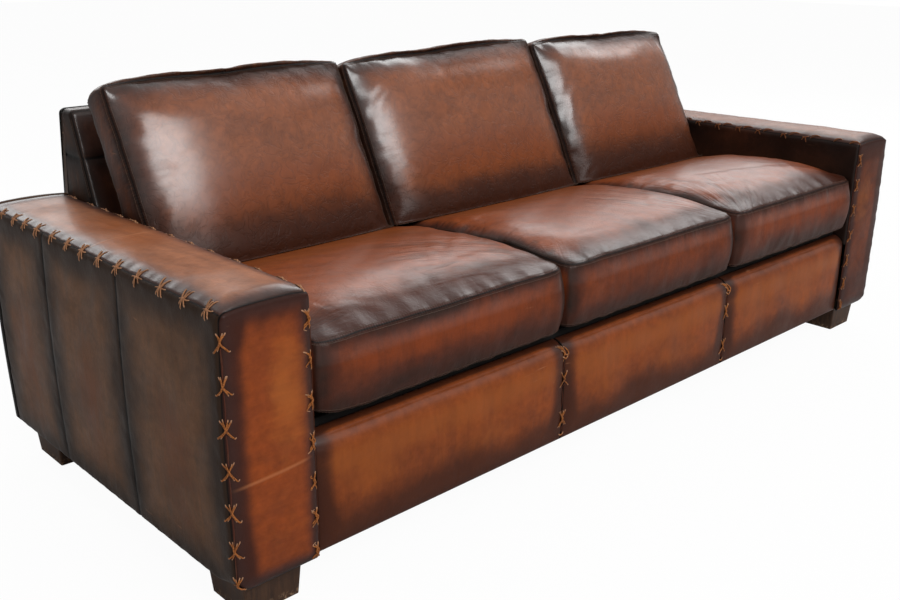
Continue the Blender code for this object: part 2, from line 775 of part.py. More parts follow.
def make_foot(name, x, depth):
    """A tapered block with a blind hole for its bolt."""
    top = RAIL_WOOD_LOW - GAP
    half = Vector(FOOT_TOP) / 2
    bm = box_mesh((x - half.x, depth - half.y, 0.0), (x + half.x, depth + half.y, top))
    upright = [e for e in bm.edges if abs(e.verts[0].co.z - e.verts[1].co.z) > top / 2]
    round_edges(bm, upright, FOOT_EDGE, 2)
    middle_y = behind_front(depth)
    for vert in bm.verts:
        if vert.co.z < top / 2:
            vert.co.x = x + (vert.co.x - x) * FOOT_BOTTOM[0] / FOOT_TOP[0]
            vert.co.y = middle_y + (vert.co.y - middle_y) * FOOT_BOTTOM[1] / FOOT_TOP[1]
    foot = finish(name, bm, FOOT_WOOD)
    drill(f"hole_in_{name}", foot, (x, depth), BOLT_LOW - GAP, top + CUT_PLAY)


def make_bolt(name, x, depth):
    bm = bmesh.new()
    bmesh.ops.create_cone(
        bm,
        cap_ends=True,
        segments=BOLT_SEGMENTS,
        radius1=BOLT_RADIUS,
        radius2=BOLT_RADIUS,
        depth=BOLT_HIGH - BOLT_LOW,
    )
    middle = (x, behind_front(depth), (BOLT_LOW + BOLT_HIGH) / 2)
    bmesh.ops.translate(bm, vec=middle, verts=bm.verts)
    finish(name, bm, BOLT_STEEL)


def make_feet():
    for label, side in SIDES:
        for place, depth in FOOT_PLACES:
            make_foot(f"foot_{place}_{label}", side * ARM_MIDDLE, depth)
            make_bolt(f"foot_bolt_{place}_{label}", side * ARM_MIDDLE, depth)


def main():
    for old in list(bpy.data.objects):
        bpy.data.objects.remove(old)
    for label, side in SIDES:
        make_arm_panels(label, side)
        make_arm_frame(label, side)
    make_rail_panels()
    make_deck()
    make_seat_cushions()
    make_back_cushions()
    make_inside_back()
    make_outside_back()
    make_seat_frame()
    make_back_frame()
    make_springs()
    make_feet()


main()
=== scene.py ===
"""Dresses the three-seat leather sofa: burnished panels, soft cushions, rawhide lacing, stage.

Metres, +Z up. X runs along the sofa and -Y is its front. Each piece keeps its place in its mesh.
"""

import json
import math
import random

import bmesh
import bpy
import numpy as np
from bpy.props import FloatProperty, FloatVectorProperty, IntProperty, PointerProperty
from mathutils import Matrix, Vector
from mathutils.bvhtree import BVHTree

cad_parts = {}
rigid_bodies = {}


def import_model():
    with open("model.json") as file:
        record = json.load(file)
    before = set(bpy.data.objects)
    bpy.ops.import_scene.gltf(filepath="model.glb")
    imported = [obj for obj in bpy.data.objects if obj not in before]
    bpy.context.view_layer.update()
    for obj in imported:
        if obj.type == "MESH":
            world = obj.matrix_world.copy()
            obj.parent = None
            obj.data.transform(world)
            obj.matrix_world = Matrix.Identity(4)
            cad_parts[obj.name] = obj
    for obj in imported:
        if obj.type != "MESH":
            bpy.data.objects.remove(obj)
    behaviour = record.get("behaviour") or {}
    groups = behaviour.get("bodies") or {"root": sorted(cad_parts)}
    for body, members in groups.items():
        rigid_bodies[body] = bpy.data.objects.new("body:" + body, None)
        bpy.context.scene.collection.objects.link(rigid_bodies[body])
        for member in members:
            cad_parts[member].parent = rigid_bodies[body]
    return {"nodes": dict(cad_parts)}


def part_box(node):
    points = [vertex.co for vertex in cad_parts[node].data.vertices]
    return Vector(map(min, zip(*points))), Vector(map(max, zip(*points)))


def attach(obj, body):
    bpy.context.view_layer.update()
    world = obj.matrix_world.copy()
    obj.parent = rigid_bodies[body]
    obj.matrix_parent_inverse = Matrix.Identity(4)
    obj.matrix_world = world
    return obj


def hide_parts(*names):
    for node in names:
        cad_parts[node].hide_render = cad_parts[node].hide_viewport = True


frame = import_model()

bl_info = {
    "name": "Laced leather sofa",
    "version": (1, 0, 0),
    "blender": (4, 5, 0),
    "location": "3D View > Sidebar > Sofa",
    "description": "Builds the leather, cushions, lacing and stage of a three-seat sofa",
    "category": "Object",
}

SIDES = (("left", -1), ("right", 1))
SEATS = ("left", "middle", "right")

# ---------------------------------------------------------------- places taken from the frame

INNER = float(-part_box("arm_front_panel_left")[1][0])  # half the room between the arms
FRONT = -0.494  # flat front of the arms, before they swell
REAR = float(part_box("arm_top_panel_left")[1][1])  # where the arms' panels end
HALF = 1.22  # flat outer side of the arms
HEM = float(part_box("arm_front_panel_left")[0][2])
ARM_EDGE_HEIGHT = 0.622
ARM_CROWN = (0.0175, 0.005)  # at the front and at the rear
ARM_PUFF = 0.0065
BOARD_LOW = float(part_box("arm_inner_panel_left")[0][2])
PAD = 0.0205  # leather with the padding behind it
HAIR = 0.0004  # half the gap between two laced panels

CONTACT_POINT = (0.071, 0.505)  # (y, z) on the slope where back cushions sit on the seat
CONTACT_FALL = 0.25
CLEAR = 0.0008


# ---------------------------------------------------------------- settings


class LeatherSettings(bpy.types.PropertyGroup):
    edge: FloatVectorProperty(
        name="Edge",
        description="Colour of the burnished edges",
        subtype="COLOR",
        size=3,
        min=0.0,
        max=1.0,
        default=(0.02, 0.0105, 0.0078),
    )
    side: FloatVectorProperty(
        name="Side",
        description="Colour in the middle of the arms' outer sides",
        subtype="COLOR",
        size=3,
        min=0.0,
        max=1.0,
        default=(0.145, 0.068, 0.031),
    )
    grain: FloatProperty(
        name="Grain depth",
        description="Depth of the hide's grain",
        unit="LENGTH",
        precision=5,
        default=0.00035,
    )


class CushionSettings(bpy.types.PropertyGroup):
    cell: FloatProperty(
        name="Cell",
        description="Size of a cushion's mesh cells before they are divided",
        unit="LENGTH",
        precision=4,
        default=0.0125,
    )
    pressure: FloatProperty(name="Filling", description="Pressure of the filling on the leather", default=1.2)
    give: FloatProperty(
        name="Give",
        description="How far the leather may move while it settles",
        unit="LENGTH",
        precision=4,
        default=0.005,
    )
    frames: IntProperty(name="Steps", description="Steps of the settling", default=20)
    stitch: FloatProperty(
        name="Stitch", description="Length of one topstitch", unit="LENGTH", precision=4, default=0.0066
    )


class LacingSettings(bpy.types.PropertyGroup):
    width: FloatProperty(
        name="Width", description="Width of the rawhide lace", unit="LENGTH", precision=4, default=0.0036
    )
    thickness: FloatProperty(
        name="Thickness", description="Thickness of the lace", unit="LENGTH", precision=4, default=0.0017
    )
    seed: IntProperty(name="Hand", description="Changes how unevenly the stitches are set", default=7)


class StageSettings(bpy.types.PropertyGroup):
    lens: FloatProperty(name="Lens", description="Focal length of the camera", unit="CAMERA", default=41.084)
    place: FloatVectorProperty(
        name="Camera place",
        description="Where the camera stands",
        subtype="TRANSLATION",
        size=3,
        default=(-2.0294, -1.8979, 1.1974),
    )
    turn: FloatVectorProperty(
        name="Camera turn",
        description="How the camera is turned",
        subtype="EULER",
        size=3,
        default=(math.radians(70.822), math.radians(-0.346), math.radians(-43.44)),
    )
    softbox: FloatProperty(
        name="Softbox", description="Power of the softbox at the right", unit="POWER", default=130.0
    )
    key: FloatProperty(name="Key", description="Power of the large softbox far in front", unit="POWER", default=620.0)
    side: FloatProperty(name="Side", description="Power of the low softbox at the right", unit="POWER", default=28.0)
    strip: FloatProperty(name="Strip", description="Power of the lamp above the rail", unit="POWER", default=50.0)
    rim: FloatProperty(name="Rim", description="Power of the softbox behind", unit="POWER", default=24.0)
    overhead: FloatProperty(name="Overhead", description="Strength of the light from above", default=0.5)
    horizon: FloatProperty(name="Horizon", description="Strength of the light from the sides", default=0.17)


# ---------------------------------------------------------------- materials


def feed(tree, target, value):
    """Links an output into an input, or writes a plain value."""
    if isinstance(value, bpy.types.NodeSocket):
        tree.links.new(value, target)
    else:
        target.default_value = value


def calc(tree, operation, a, b=None, c=None, clamp=False):
    made = tree.nodes.new("ShaderNodeMath")
    made.operation = operation
    made.use_clamp = clamp
    for index, value in enumerate((a, b, c)):
        if value is not None:
            feed(tree, made.inputs[index], value)
    return made.outputs[0]


def mul(tree, a, b, clamp=False):
    return calc(tree, "MULTIPLY", a, b, clamp=clamp)

def mad(tree, a, b, c, clamp=False):
    """a times b plus c."""
    return calc(tree, "MULTIPLY_ADD", a, b, c, clamp=clamp)

def blend_colour(tree, amount, a, b, kind="MIX"):
    made = tree.nodes.new("ShaderNodeMix")
    made.data_type = "RGBA"
    made.blend_type = kind
    feed(tree, made.inputs["Factor"], amount)
    feed(tree, made.inputs["A"], a)
    feed(tree, made.inputs["B"], b)
    return made.outputs["Result"]


def ramp(tree, value, low, high, start=0.0, end=1.0, kind="SMOOTHSTEP"):
    made = tree.nodes.new("ShaderNodeMapRange")
    made.interpolation_type = kind
    for name, amount in (("Value", value), ("From Min", low), ("From Max", high), ("To Min", start), ("To Max", end)):
        feed(tree, made.inputs[name], amount)
    return made.outputs["Result"]


def noise(tree, place, scale, detail=3.0, rough=0.55, distortion=0.0):
    made = tree.nodes.new("ShaderNodeTexNoise")
    feed(tree, made.inputs["Vector"], place)
    made.inputs["Scale"].default_value = scale
    made.inputs["Detail"].default_value = detail
    made.inputs["Roughness"].default_value = rough
    made.inputs["Distortion"].default_value = distortion
    return made.outputs["Fac"]


def stretched(tree, place, scale=(1.0, 1.0, 1.0), turn=(0.0, 0.0, 0.0)):
    made = tree.nodes.new("ShaderNodeMapping")
    feed(tree, made.inputs["Vector"], place)
    made.inputs["Scale"].default_value = scale
    made.inputs["Rotation"].default_value = turn
    return made.outputs["Vector"]


def cells(tree, place, scale):
    made = tree.nodes.new("ShaderNodeTexVoronoi")
    feed(tree, made.inputs["Vector"], place)
    made.inputs["Scale"].default_value = scale
    return made.outputs["Distance"]


def group(name, inputs, outputs):
    """An empty shader group with named sockets: (name, kind, default)."""
    tree = bpy.data.node_groups.new(name, "ShaderNodeTree")
    for socket, kind, default in inputs:
        made = tree.interface.new_socket(name=socket, in_out="INPUT", socket_type=kind)
        if default is not None:
            made.default_value = default
    for socket, kind in outputs:
        tree.interface.new_socket(name=socket, in_out="OUTPUT", socket_type=kind)
    return tree, tree.nodes.new("NodeGroupInput").outputs, tree.nodes.new("NodeGroupOutput").inputs


def use_group(tree, name, values):
    made = tree.nodes.new("ShaderNodeGroup")
    made.node_tree = bpy.data.node_groups[name]
    for socket, value in values.items():
        feed(tree, made.inputs[socket], value)
    return made.outputs


FLOAT = "NodeSocketFloat"
COLOUR = "NodeSocketColor"
VECTOR = "NodeSocketVector"


def make_burnish_group():
    """Hand-rubbed finish: dark edges, a reddish band, an orange-brown middle, all mottled."""
    tree, given, out = group(
        "Hand-rubbed finish",
        [
            ("Place", VECTOR, None),
            ("Edge Distance", FLOAT, 0.1),
            ("Band", FLOAT, 0.06),
            ("Wander", FLOAT, 0.03),
            ("Mottle", FLOAT, 0.35),
            ("Middle", COLOUR, (0.3, 0.08, 0.03, 1)),
            ("Band Colour", COLOUR, (0.1, 0.03, 0.015, 1)),
            ("Edge", COLOUR, (0.02, 0.01, 0.01, 1)),
        ],
        [("Colour", COLOUR), ("Rubbed", FLOAT)],
    )
    wander = calc(tree, "SUBTRACT", noise(tree, given["Place"], 7.0, 4.0, 0.6), 0.5)
    reach = mad(tree, wander, mul(tree, given["Wander"], 2.0), given["Edge Distance"])
    part = calc(tree, "DIVIDE", reach, given["Band"])
    low = ramp(tree, part, 0.05, 0.6)
    high = ramp(tree, part, 0.3, 1.15)
    colour = blend_colour(tree, low, given["Edge"], given["Band Colour"])
    colour = blend_colour(tree, high, colour, given["Middle"])
    patches = noise(tree, stretched(tree, given["Place"], (1.0, 1.0, 1.6)), 5.5, 5.0, 0.62, 0.6)
    patch_amount = mul(tree, ramp(tree, patches, 0.4, 0.66), given["Mottle"])
    colour = blend_colour(tree, patch_amount, colour, given["Band Colour"])
    fine = noise(tree, given["Place"], 46.0, 6.0, 0.66)
    shade = ramp(tree, fine, 0.28, 0.72, 0.74, 1.16, "LINEAR")
    spread = tree.nodes.new("ShaderNodeCombineColor")
    for name in ("Red", "Green", "Blue"):
        feed(tree, spread.inputs[name], shade)
    colour = blend_colour(tree, 1.0, colour, spread.outputs["Color"], "MULTIPLY")
    feed(tree, out["Colour"], colour)
    feed(tree, out["Rubbed"], high)


def make_grain_group():
    """Fine pebbled grain of the hide with a few pores."""
    tree, given, out = group("Hide grain", [("Place", VECTOR, None)], [("Height", FLOAT)])
    pebbles = cells(tree, given["Place"], 420.0)
    larger = cells(tree, given["Place"], 190.0)
    soft = noise(tree, given["Place"], 240.0, 3.0, 0.6)
    height = mad(tree, pebbles, -0.45, 0.7)
    height = mad(tree, larger, -0.3, height)
    height = mad(tree, soft, 0.5, height)
    feed(tree, out["Height"], height)


def make_crease_group():
    """Soft creases of used leather, as thin valleys between broad rises."""
    tree, given, out = group(
        "Used leather creases",
        [("Place", VECTOR, None), ("Fine", FLOAT, 0.5)],
        [("Height", FLOAT), ("Valley", FLOAT)],
    )
    broad = noise(tree, given["Place"], 9.0, 3.0, 0.5, 0.8)
    web = noise(tree, given["Place"], 26.0, 4.0, 0.55, 1.1)
    valley = calc(tree, "ABSOLUTE", calc(tree, "SUBTRACT", web, 0.5))
    valley = ramp(tree, valley, 0.0, 0.055, 1.0, 0.0)
    height = mad(tree, valley, mul(tree, given["Fine"], -0.35), broad)
    feed(tree, out["Height"], height)
    feed(tree, out["Valley"], valley)


def make_scuff_group():
    """Pale rubbed scratches and patches where the finish has worn."""
    tree, given, out = group("Scuffs", [("Place", VECTOR, None), ("Amount", FLOAT, 0.5)], [("Mask", FLOAT)])
    lines = noise(tree, stretched(tree, given["Place"], (6.0, 6.0, 42.0), (0.5, 0.7, 0.2)), 2.2, 4.0, 0.6, 0.4)
    lines = ramp(tree, lines, 0.66, 0.78)
    where = ramp(tree, noise(tree, given["Place"], 3.6, 3.0, 0.5), 0.5, 0.66)
    feed(tree, out["Mask"], mul(tree, mul(tree, lines, where), given["Amount"], clamp=True))


def new_material(name):
    material = bpy.data.materials.new(name)
    material.use_nodes = True
    tree = material.node_tree
    shader = tree.nodes["Principled BSDF"]
    place = tree.nodes.new("ShaderNodeTexCoord").outputs["Object"]
    return tree, shader, place


def attribute(tree, name):
    made = tree.nodes.new("ShaderNodeAttribute")
    made.attribute_name = name
    return made.outputs["Fac"]


def bump(tree, height, distance, strength=1.0, under=None):
    made = tree.nodes.new("ShaderNodeBump")
    feed(tree, made.inputs["Height"], height)
    made.inputs["Distance"].default_value = distance
    made.inputs["Strength"].default_value = strength
    if under is not None:
        feed(tree, made.inputs["Normal"], under)
    return made.outputs["Normal"]


def rgba(colour, scale=1.0):
    return (colour[0] * scale, colour[1] * scale, colour[2] * scale, 1.0)


def make_streak_group():
    """Long strokes left by the cloth that rubbed the colour in."""
    tree, given, out = group("Rubbing strokes", [("Place", VECTOR, None)], [("Stroke", FLOAT)])
    wide = noise(tree, stretched(tree, given["Place"], (5.0, 30.0, 30.0)), 1.0, 3.0, 0.6, 0.6)
    thin = noise(tree, stretched(tree, given["Place"], (18.0, 110.0, 110.0)), 1.0, 4.0, 0.62, 0.4)
    both = mad(tree, wide, 0.6, mul(tree, thin, 0.4))
    feed(tree, out["Stroke"], ramp(tree, both, 0.36, 0.64))


def make_seam_group():
    """Dark sewn line, the small dents of its stitches, the folds that its pull makes and painted shade in those folds.
    """
    tree, given, out = group(
        "Sewn line",
        [("Seam Distance", FLOAT, 1.0), ("Along", FLOAT, 0.0), ("Pull", FLOAT, 0.0)],
        [("Height", FLOAT), ("Line", FLOAT), ("Fold Shade", FLOAT)],
    )
    ticks = calc(tree, "SINE", mul(tree, given["Along"], 2 * math.pi / 0.0062))
    near = ramp(tree, given["Seam Distance"], 0.002, 0.012, 1.0, 0.0)
    place = tree.nodes.new("ShaderNodeCombineXYZ")
    feed(tree, place.inputs[0], mul(tree, given["Along"], 62.0))
    feed(tree, place.inputs[1], mul(tree, given["Seam Distance"], 13.0))
    folds = noise(tree, place.outputs[0], 1.0, 2.0, 0.45, 0.35)
    reach = mad(tree, given["Pull"], 0.05, 0.016)
    far = calc(tree, "DIVIDE", given["Seam Distance"], reach)
    far = mul(tree, ramp(tree, far, 0.15, 1.0, 1.0, 0.0), mad(tree, given["Pull"], 2.2, 0.5))
    height = mul(tree, ticks, mul(tree, near, 0.12))
    height = mad(tree, folds, far, height)
    feed(tree, out["Height"], height)
    feed(tree, out["Fold Shade"], mul(tree, ramp(tree, folds, 0.52, 0.34), calc(tree, "MINIMUM", far, 1.0)))
    feed(tree, out["Line"], ramp(tree, given["Seam Distance"], 0.0005, 0.0028, 1.0, 0.0))


def make_fringe_group():
    """Short strokes across a seam, where the dark finish was wiped off towards the middle."""
    tree, given, out = group(
        "Brushed fringe",
        [("Seam Distance", FLOAT, 1.0), ("Along", FLOAT, 0.0)],
        [("Fringe", FLOAT)],
    )
    place = tree.nodes.new("ShaderNodeCombineXYZ")
    feed(tree, place.inputs[0], mul(tree, given["Along"], 95.0))
    feed(tree, place.inputs[1], mul(tree, given["Seam Distance"], 14.0))
    strokes = calc(tree, "SUBTRACT", noise(tree, place.outputs[0], 1.0, 4.0, 0.62, 0.5), 0.5)
    near = ramp(tree, given["Seam Distance"], 0.05, 0.14, 0.75, 0.0)
    feed(tree, out["Fringe"], mul(tree, strokes, near))


def make_fold_group():
    """Long drawn folds that run together: Run lies along them and Across counts them, in metres. Their hollows are
    given out for painted shade.
    """
    tree, given, out = group(
        "Drawn folds",
        [("Run", FLOAT, 0.0), ("Across", FLOAT, 0.0), ("Amount", FLOAT, 0.0)],
        [("Height", FLOAT), ("Hollow Shade", FLOAT)],
    )
    layers = []
    for across, run, seed in ((26.0, 5.0, 0.0), (64.0, 9.0, 7.3)):
        place = tree.nodes.new("ShaderNodeCombineXYZ")
        feed(tree, place.inputs[0], mul(tree, given["Run"], run))
        feed(tree, place.inputs[1], mul(tree, given["Across"], across))
        place.inputs[2].default_value = seed
        layers.append(noise(tree, place.outputs[0], 1.0, 2.0, 0.42, 0.5))
    broad = ramp(tree, layers[0], 0.34, 0.66)
    fine = ramp(tree, layers[1], 0.34, 0.66)
    both = mad(tree, fine, 0.32, mul(tree, broad, 0.68))
    feed(tree, out["Height"], mul(tree, both, given["Amount"]))
    feed(tree, out["Hollow Shade"], mul(tree, ramp(tree, both, 0.42, 0.12), given["Amount"]))


def make_leather(name, middle, band_colour, edge, band, wander, mottle, crease, fine, rough, specular, stroke,
                 turn=(0.0, 0.0, 0.0), sewn=False, coat=0.0, glow=(0.4, 0.11, 0.022), edge_coat=0.0):
    """One leather: colours from its middle to its edges, and how strong each of its marks is."""
    settings = bpy.context.scene.sofa_leather
    tree, shader, place = new_material(name)
    near = attribute(tree, "edge_distance")
    finish = use_group(
        tree,
        "Hand-rubbed finish",
        {
            "Place": place,
            "Edge Distance": near,
            "Band": band,
            "Wander": wander,
            "Mottle": mottle,
            "Middle": rgba(middle),
            "Band Colour": rgba(band_colour),
            "Edge": rgba(edge),
        },
    )
    creases = use_group(tree, "Used leather creases", {"Place": place, "Fine": fine})
    grain = use_group(tree, "Hide grain", {"Place": place})
    scuff = use_group(tree, "Scuffs", {"Place": place, "Amount": 0.4})
    rubbed = use_group(tree, "Rubbing strokes", {"Place": stretched(tree, place, turn=turn)})["Stroke"]
    # painted warmth and darkening of this piece, both with uneven borders; part of the darkening is painted shade
    uneven = calc(tree, "SUBTRACT", noise(tree, place, 16.0, 5.0, 0.62, 0.4), 0.5)
    if sewn:
        uneven = calc(tree, "ADD", uneven, use_group(
            tree, "Brushed fringe", {"Seam Distance": attribute(tree, "seam"), "Along": attribute(tree, "along")}
        )["Fringe"])
    warm = mad(tree, uneven, 0.9, attribute(tree, "glow"))
    warm = ramp(tree, warm, 0.12, 0.85)
    dusk = mad(tree, uneven, -0.55, attribute(tree, "dusk"))
    dusk = ramp(tree, dusk, 0.12, 0.95)
    colour = blend_colour(tree, mul(tree, warm, 0.85), finish["Colour"], rgba(glow, 0.84))
    dark = mul(tree, calc(tree, "SUBTRACT", 1.0, rubbed), stroke)
    colour = blend_colour(tree, dark, colour, rgba(band_colour, 0.85))
    light = mul(tree, mul(tree, rubbed, finish["Rubbed"]), stroke * 0.45)
    colour = blend_colour(tree, light, colour, rgba(glow))
    colour = blend_colour(tree, mul(tree, dusk, 0.9), colour, rgba(band_colour, 0.55))
    colour = blend_colour(tree, scuff["Mask"], colour, rgba((0.42, 0.2, 0.1)))
    # painted shade in the crease valleys
    crease_shade = mul(tree, creases["Valley"], 0.22 * fine)
    colour = blend_colour(tree, crease_shade, colour, rgba(edge))
    off = mad(tree, uneven, 0.004, attribute(tree, "scar_off"))
    scar = ramp(tree, calc(tree, "ABSOLUTE", off), 0.0, 0.0055, 1.0, 0.0)
    scar = mul(tree, scar, attribute(tree, "scar"))
    colour = blend_colour(tree, mul(tree, scar, 0.42), colour, rgba((0.44, 0.17, 0.07)))
    normal = bump(tree, creases["Height"], crease)
    normal = bump(tree, rubbed, 0.0006 * stroke, 1.0, normal)
    normal = bump(tree, scar, 0.0006, 1.0, normal)
    if sewn:
        folds = use_group(
            tree,
            "Drawn folds",
            {
                "Run": attribute(tree, "fold_run"),
                "Across": attribute(tree, "fold_across"),
                "Amount": attribute(tree, "fold"),
            },
        )
        # painted shade in the hollows of the drawn folds
        colour = blend_colour(tree, mul(tree, folds["Hollow Shade"], 0.42), colour, rgba(edge, 1.6))
        normal = bump(tree, folds["Height"], 0.0042, 1.0, normal)
        seam = use_group(
            tree,
            "Sewn line",
            {
                "Seam Distance": attribute(tree, "seam"),
                "Along": attribute(tree, "along"),
                "Pull": attribute(tree, "pull"),
            },
        )
        # painted shade in the folds beside the seam
        colour = blend_colour(tree, mul(tree, seam["Fold Shade"], 0.45), colour, rgba(edge))
        colour = blend_colour(tree, mul(tree, seam["Line"], 0.92), colour, rgba((0.005, 0.0035, 0.003)))
        normal = bump(tree, seam["Height"], 0.0016, 1.0, normal)
    else:
        line = ramp(tree, near, 0.0014, 0.0044, 1.0, 0.0)
        colour = blend_colour(tree, mul(tree, line, 0.96), colour, rgba((0.004, 0.003, 0.0025)))
    feed(tree, shader.inputs["Base Color"], colour)
    dull = noise(tree, place, 15.0, 4.0, 0.6)
    roughness = ramp(tree, dull, 0.3, 0.7, rough - 0.05, rough + 0.07, "LINEAR")
    roughness = mad(tree, scuff["Mask"], 0.18, roughness)
    roughness = mad(tree, rubbed, 0.05, roughness)
    feed(tree, shader.inputs["Roughness"], roughness)
    normal = bump(tree, grain["Height"], settings.grain, 0.9, normal)
    feed(tree, shader.inputs["Normal"], normal)
    shader.inputs["Specular IOR Level"].default_value = specular
    polished = mad(tree, uneven, coat * 1.2, ramp(tree, near, 0.006, 0.034, coat + edge_coat, coat))
    bare = mul(tree, calc(tree, "SUBTRACT", 1.0, attribute(tree, "matt")), ramp(tree, near, 0.003, 0.008))
    polished = mad(tree, polished, bare, attribute(tree, "polish"), clamp=True)
    feed(tree, shader.inputs["Coat Weight"], polished)
    shader.inputs["Coat IOR"].default_value = 1.6
    shader.inputs["Coat Roughness"].default_value = 0.24


def make_lace_material():
    tree, shader, place = new_material("rawhide lace")
    tip = calc(tree, "SUBTRACT", attribute(tree, "tip"), attribute(tree, "lace_shade"), clamp=True)
    fibres = noise(tree, stretched(tree, place, (60.0, 60.0, 60.0)), 8.0, 4.0, 0.6)
    colour = blend_colour(tree, ramp(tree, fibres, 0.35, 0.68), rgba((0.16, 0.048, 0.013)), rgba((0.4, 0.14, 0.036)))
    # laces sunk in a seam, and the right arm's laces, are painted darker as painted shade
    colour = blend_colour(tree, mul(tree, attribute(tree, "lace_shade"), 0.95), colour, rgba((0.052, 0.013, 0.008)))
    # lighter lace ends, and the painted sheen of laces that lie on the arm tops
    colour = blend_colour(tree, mul(tree, tip, 0.75), colour, rgba((0.42, 0.25, 0.155)))
    dirt = ramp(tree, noise(tree, place, 24.0, 3.0, 0.6), 0.5, 0.72, 0.0, 0.55)
    colour = blend_colour(tree, dirt, colour, rgba((0.09, 0.04, 0.02)))
    feed(tree, shader.inputs["Base Color"], colour)
    feed(tree, shader.inputs["Roughness"], ramp(tree, fibres, 0.3, 0.7, 0.5, 0.72, "LINEAR"))
    feed(tree, shader.inputs["Normal"], bump(tree, fibres, 0.0004, 0.8))
    shader.inputs["Specular IOR Level"].default_value = 0.12


def make_thread_material():
    tree, shader, place = new_material("sewing thread")
    twist = noise(tree, stretched(tree, place, (500.0, 500.0, 900.0)), 1.0, 2.0, 0.5)
    colour = blend_colour(tree, twist, rgba((0.04, 0.022, 0.016)), rgba((0.125, 0.072, 0.046)))
    feed(tree, shader.inputs["Base Color"], colour)
    feed(tree, shader.inputs["Roughness"], ramp(tree, twist, 0.0, 1.0, 0.5, 0.7, "LINEAR"))
    feed(tree, shader.inputs["Normal"], bump(tree, twist, 0.0002))
    shader.inputs["Specular IOR Level"].default_value = 0.35


def make_wood(name, dark, light, rough, wear):
    tree, shader, place = new_material(name)
    rings = noise(tree, stretched(tree, place, (1.0, 1.0, 0.06) if wear else (0.05, 1.0, 1.0)), 90.0, 6.0, 0.62, 0.5)
    colour = blend_colour(tree, ramp(tree, rings, 0.32, 0.7), rgba(dark), rgba(light))
    blotch = noise(tree, place, 12.0, 3.0, 0.5)
    colour = blend_colour(tree, ramp(tree, blotch, 0.4, 0.7, 0.0, 0.4), colour, rgba(dark))
    if wear:
        split = tree.nodes.new("ShaderNodeSeparateXYZ")
        feed(tree, split.inputs[0], place)
        low = ramp(tree, split.outputs["Z"], 0.004, 0.024, 1.0, 0.0)
        chip = ramp(tree, noise(tree, place, 130.0, 5.0, 0.7), 0.5, 0.62)
        colour = blend_colour(tree, mul(tree, low, chip), colour, rgba((0.2, 0.12, 0.07)))
    feed(tree, shader.inputs["Base Color"], colour)
    feed(tree, shader.inputs["Roughness"], ramp(tree, rings, 0.3, 0.7, rough, rough + 0.12, "LINEAR"))
    shader.inputs["Specular IOR Level"].default_value = 0.2 if wear else 0.5
    feed(tree, shader.inputs["Normal"], bump(tree, rings, 0.0004, 0.7))


def make_steel(name, colour, rough, streaks):
    tree, shader, place = new_material(name)
    grime = noise(tree, stretched(tree, place, (1.0, 1.0, streaks)), 70.0, 5.0, 0.65)
    tint = blend_colour(tree, ramp(tree, grime, 0.42, 0.72), rgba(colour), rgba((0.09, 0.055, 0.035)))
    feed(tree, shader.inputs["Base Color"], tint)
    feed(tree, shader.inputs["Metallic"], ramp(tree, grime, 0.5, 0.75, 1.0, 0.35))
    feed(tree, shader.inputs["Roughness"], ramp(tree, grime, 0.3, 0.7, rough, rough + 0.25, "LINEAR"))
    feed(tree, shader.inputs["Normal"], bump(tree, grime, 0.0002, 0.5))


def make_cloth(name, colour, threads, depth):
    """Woven cloth, or matted cloth when threads is nothing."""
    tree, shader, place = new_material(name)
    if threads:
        split = tree.nodes.new("ShaderNodeSeparateXYZ")
        feed(tree, split.inputs[0], place)
        warp = calc(tree, "SINE", mul(tree, split.outputs["X"], threads))
        weft = calc(tree, "SINE", mul(tree, split.outputs["Y"], threads))
        rise = calc(tree, "ABSOLUTE", mul(tree, warp, weft))
    else:
        rise = noise(tree, place, 320.0, 5.0, 0.7)
    fade = noise(tree, place, 9.0, 4.0, 0.6)
    shade = blend_colour(tree, ramp(tree, fade, 0.35, 0.7), rgba(colour), rgba(colour, 1.7))
    shade = blend_colour(tree, mul(tree, rise, 0.5), rgba(colour, 0.6), shade)
    feed(tree, shader.inputs["Base Color"], shade)
    feed(tree, shader.inputs["Roughness"], ramp(tree, fade, 0.3, 0.7, 0.85, 0.98, "LINEAR"))
    feed(tree, shader.inputs["Normal"], bump(tree, rise, depth))
    shader.inputs["Specular IOR Level"].default_value = 0.2


def use_material(obj, name):
    obj.data.materials.clear()
    obj.data.materials.append(bpy.data.materials[name])


# ---------------------------------------------------------------- closed grids


def stops(low, high, cell, fine=(), keep=()):
    """Places from low to high about a cell apart, with extra ones near both ends and at kept places."""
    marks = {round(low, 6), round(high, 6)}
    for step in fine:
        marks.add(round(low + step, 6))
        marks.add(round(high - step, 6))
    for place in keep:
        for side in (-1, 0, 1):
            marks.add(round(place + side * 0.005, 6))
    marks = sorted(marks)
    places = [marks[0]]
    for start, end in zip(marks, marks[1:]):
        count = max(1, round((end - start) / cell))
        places += [start + (end - start) * step / count for step in range(1, count + 1)]
    return np.array(places)


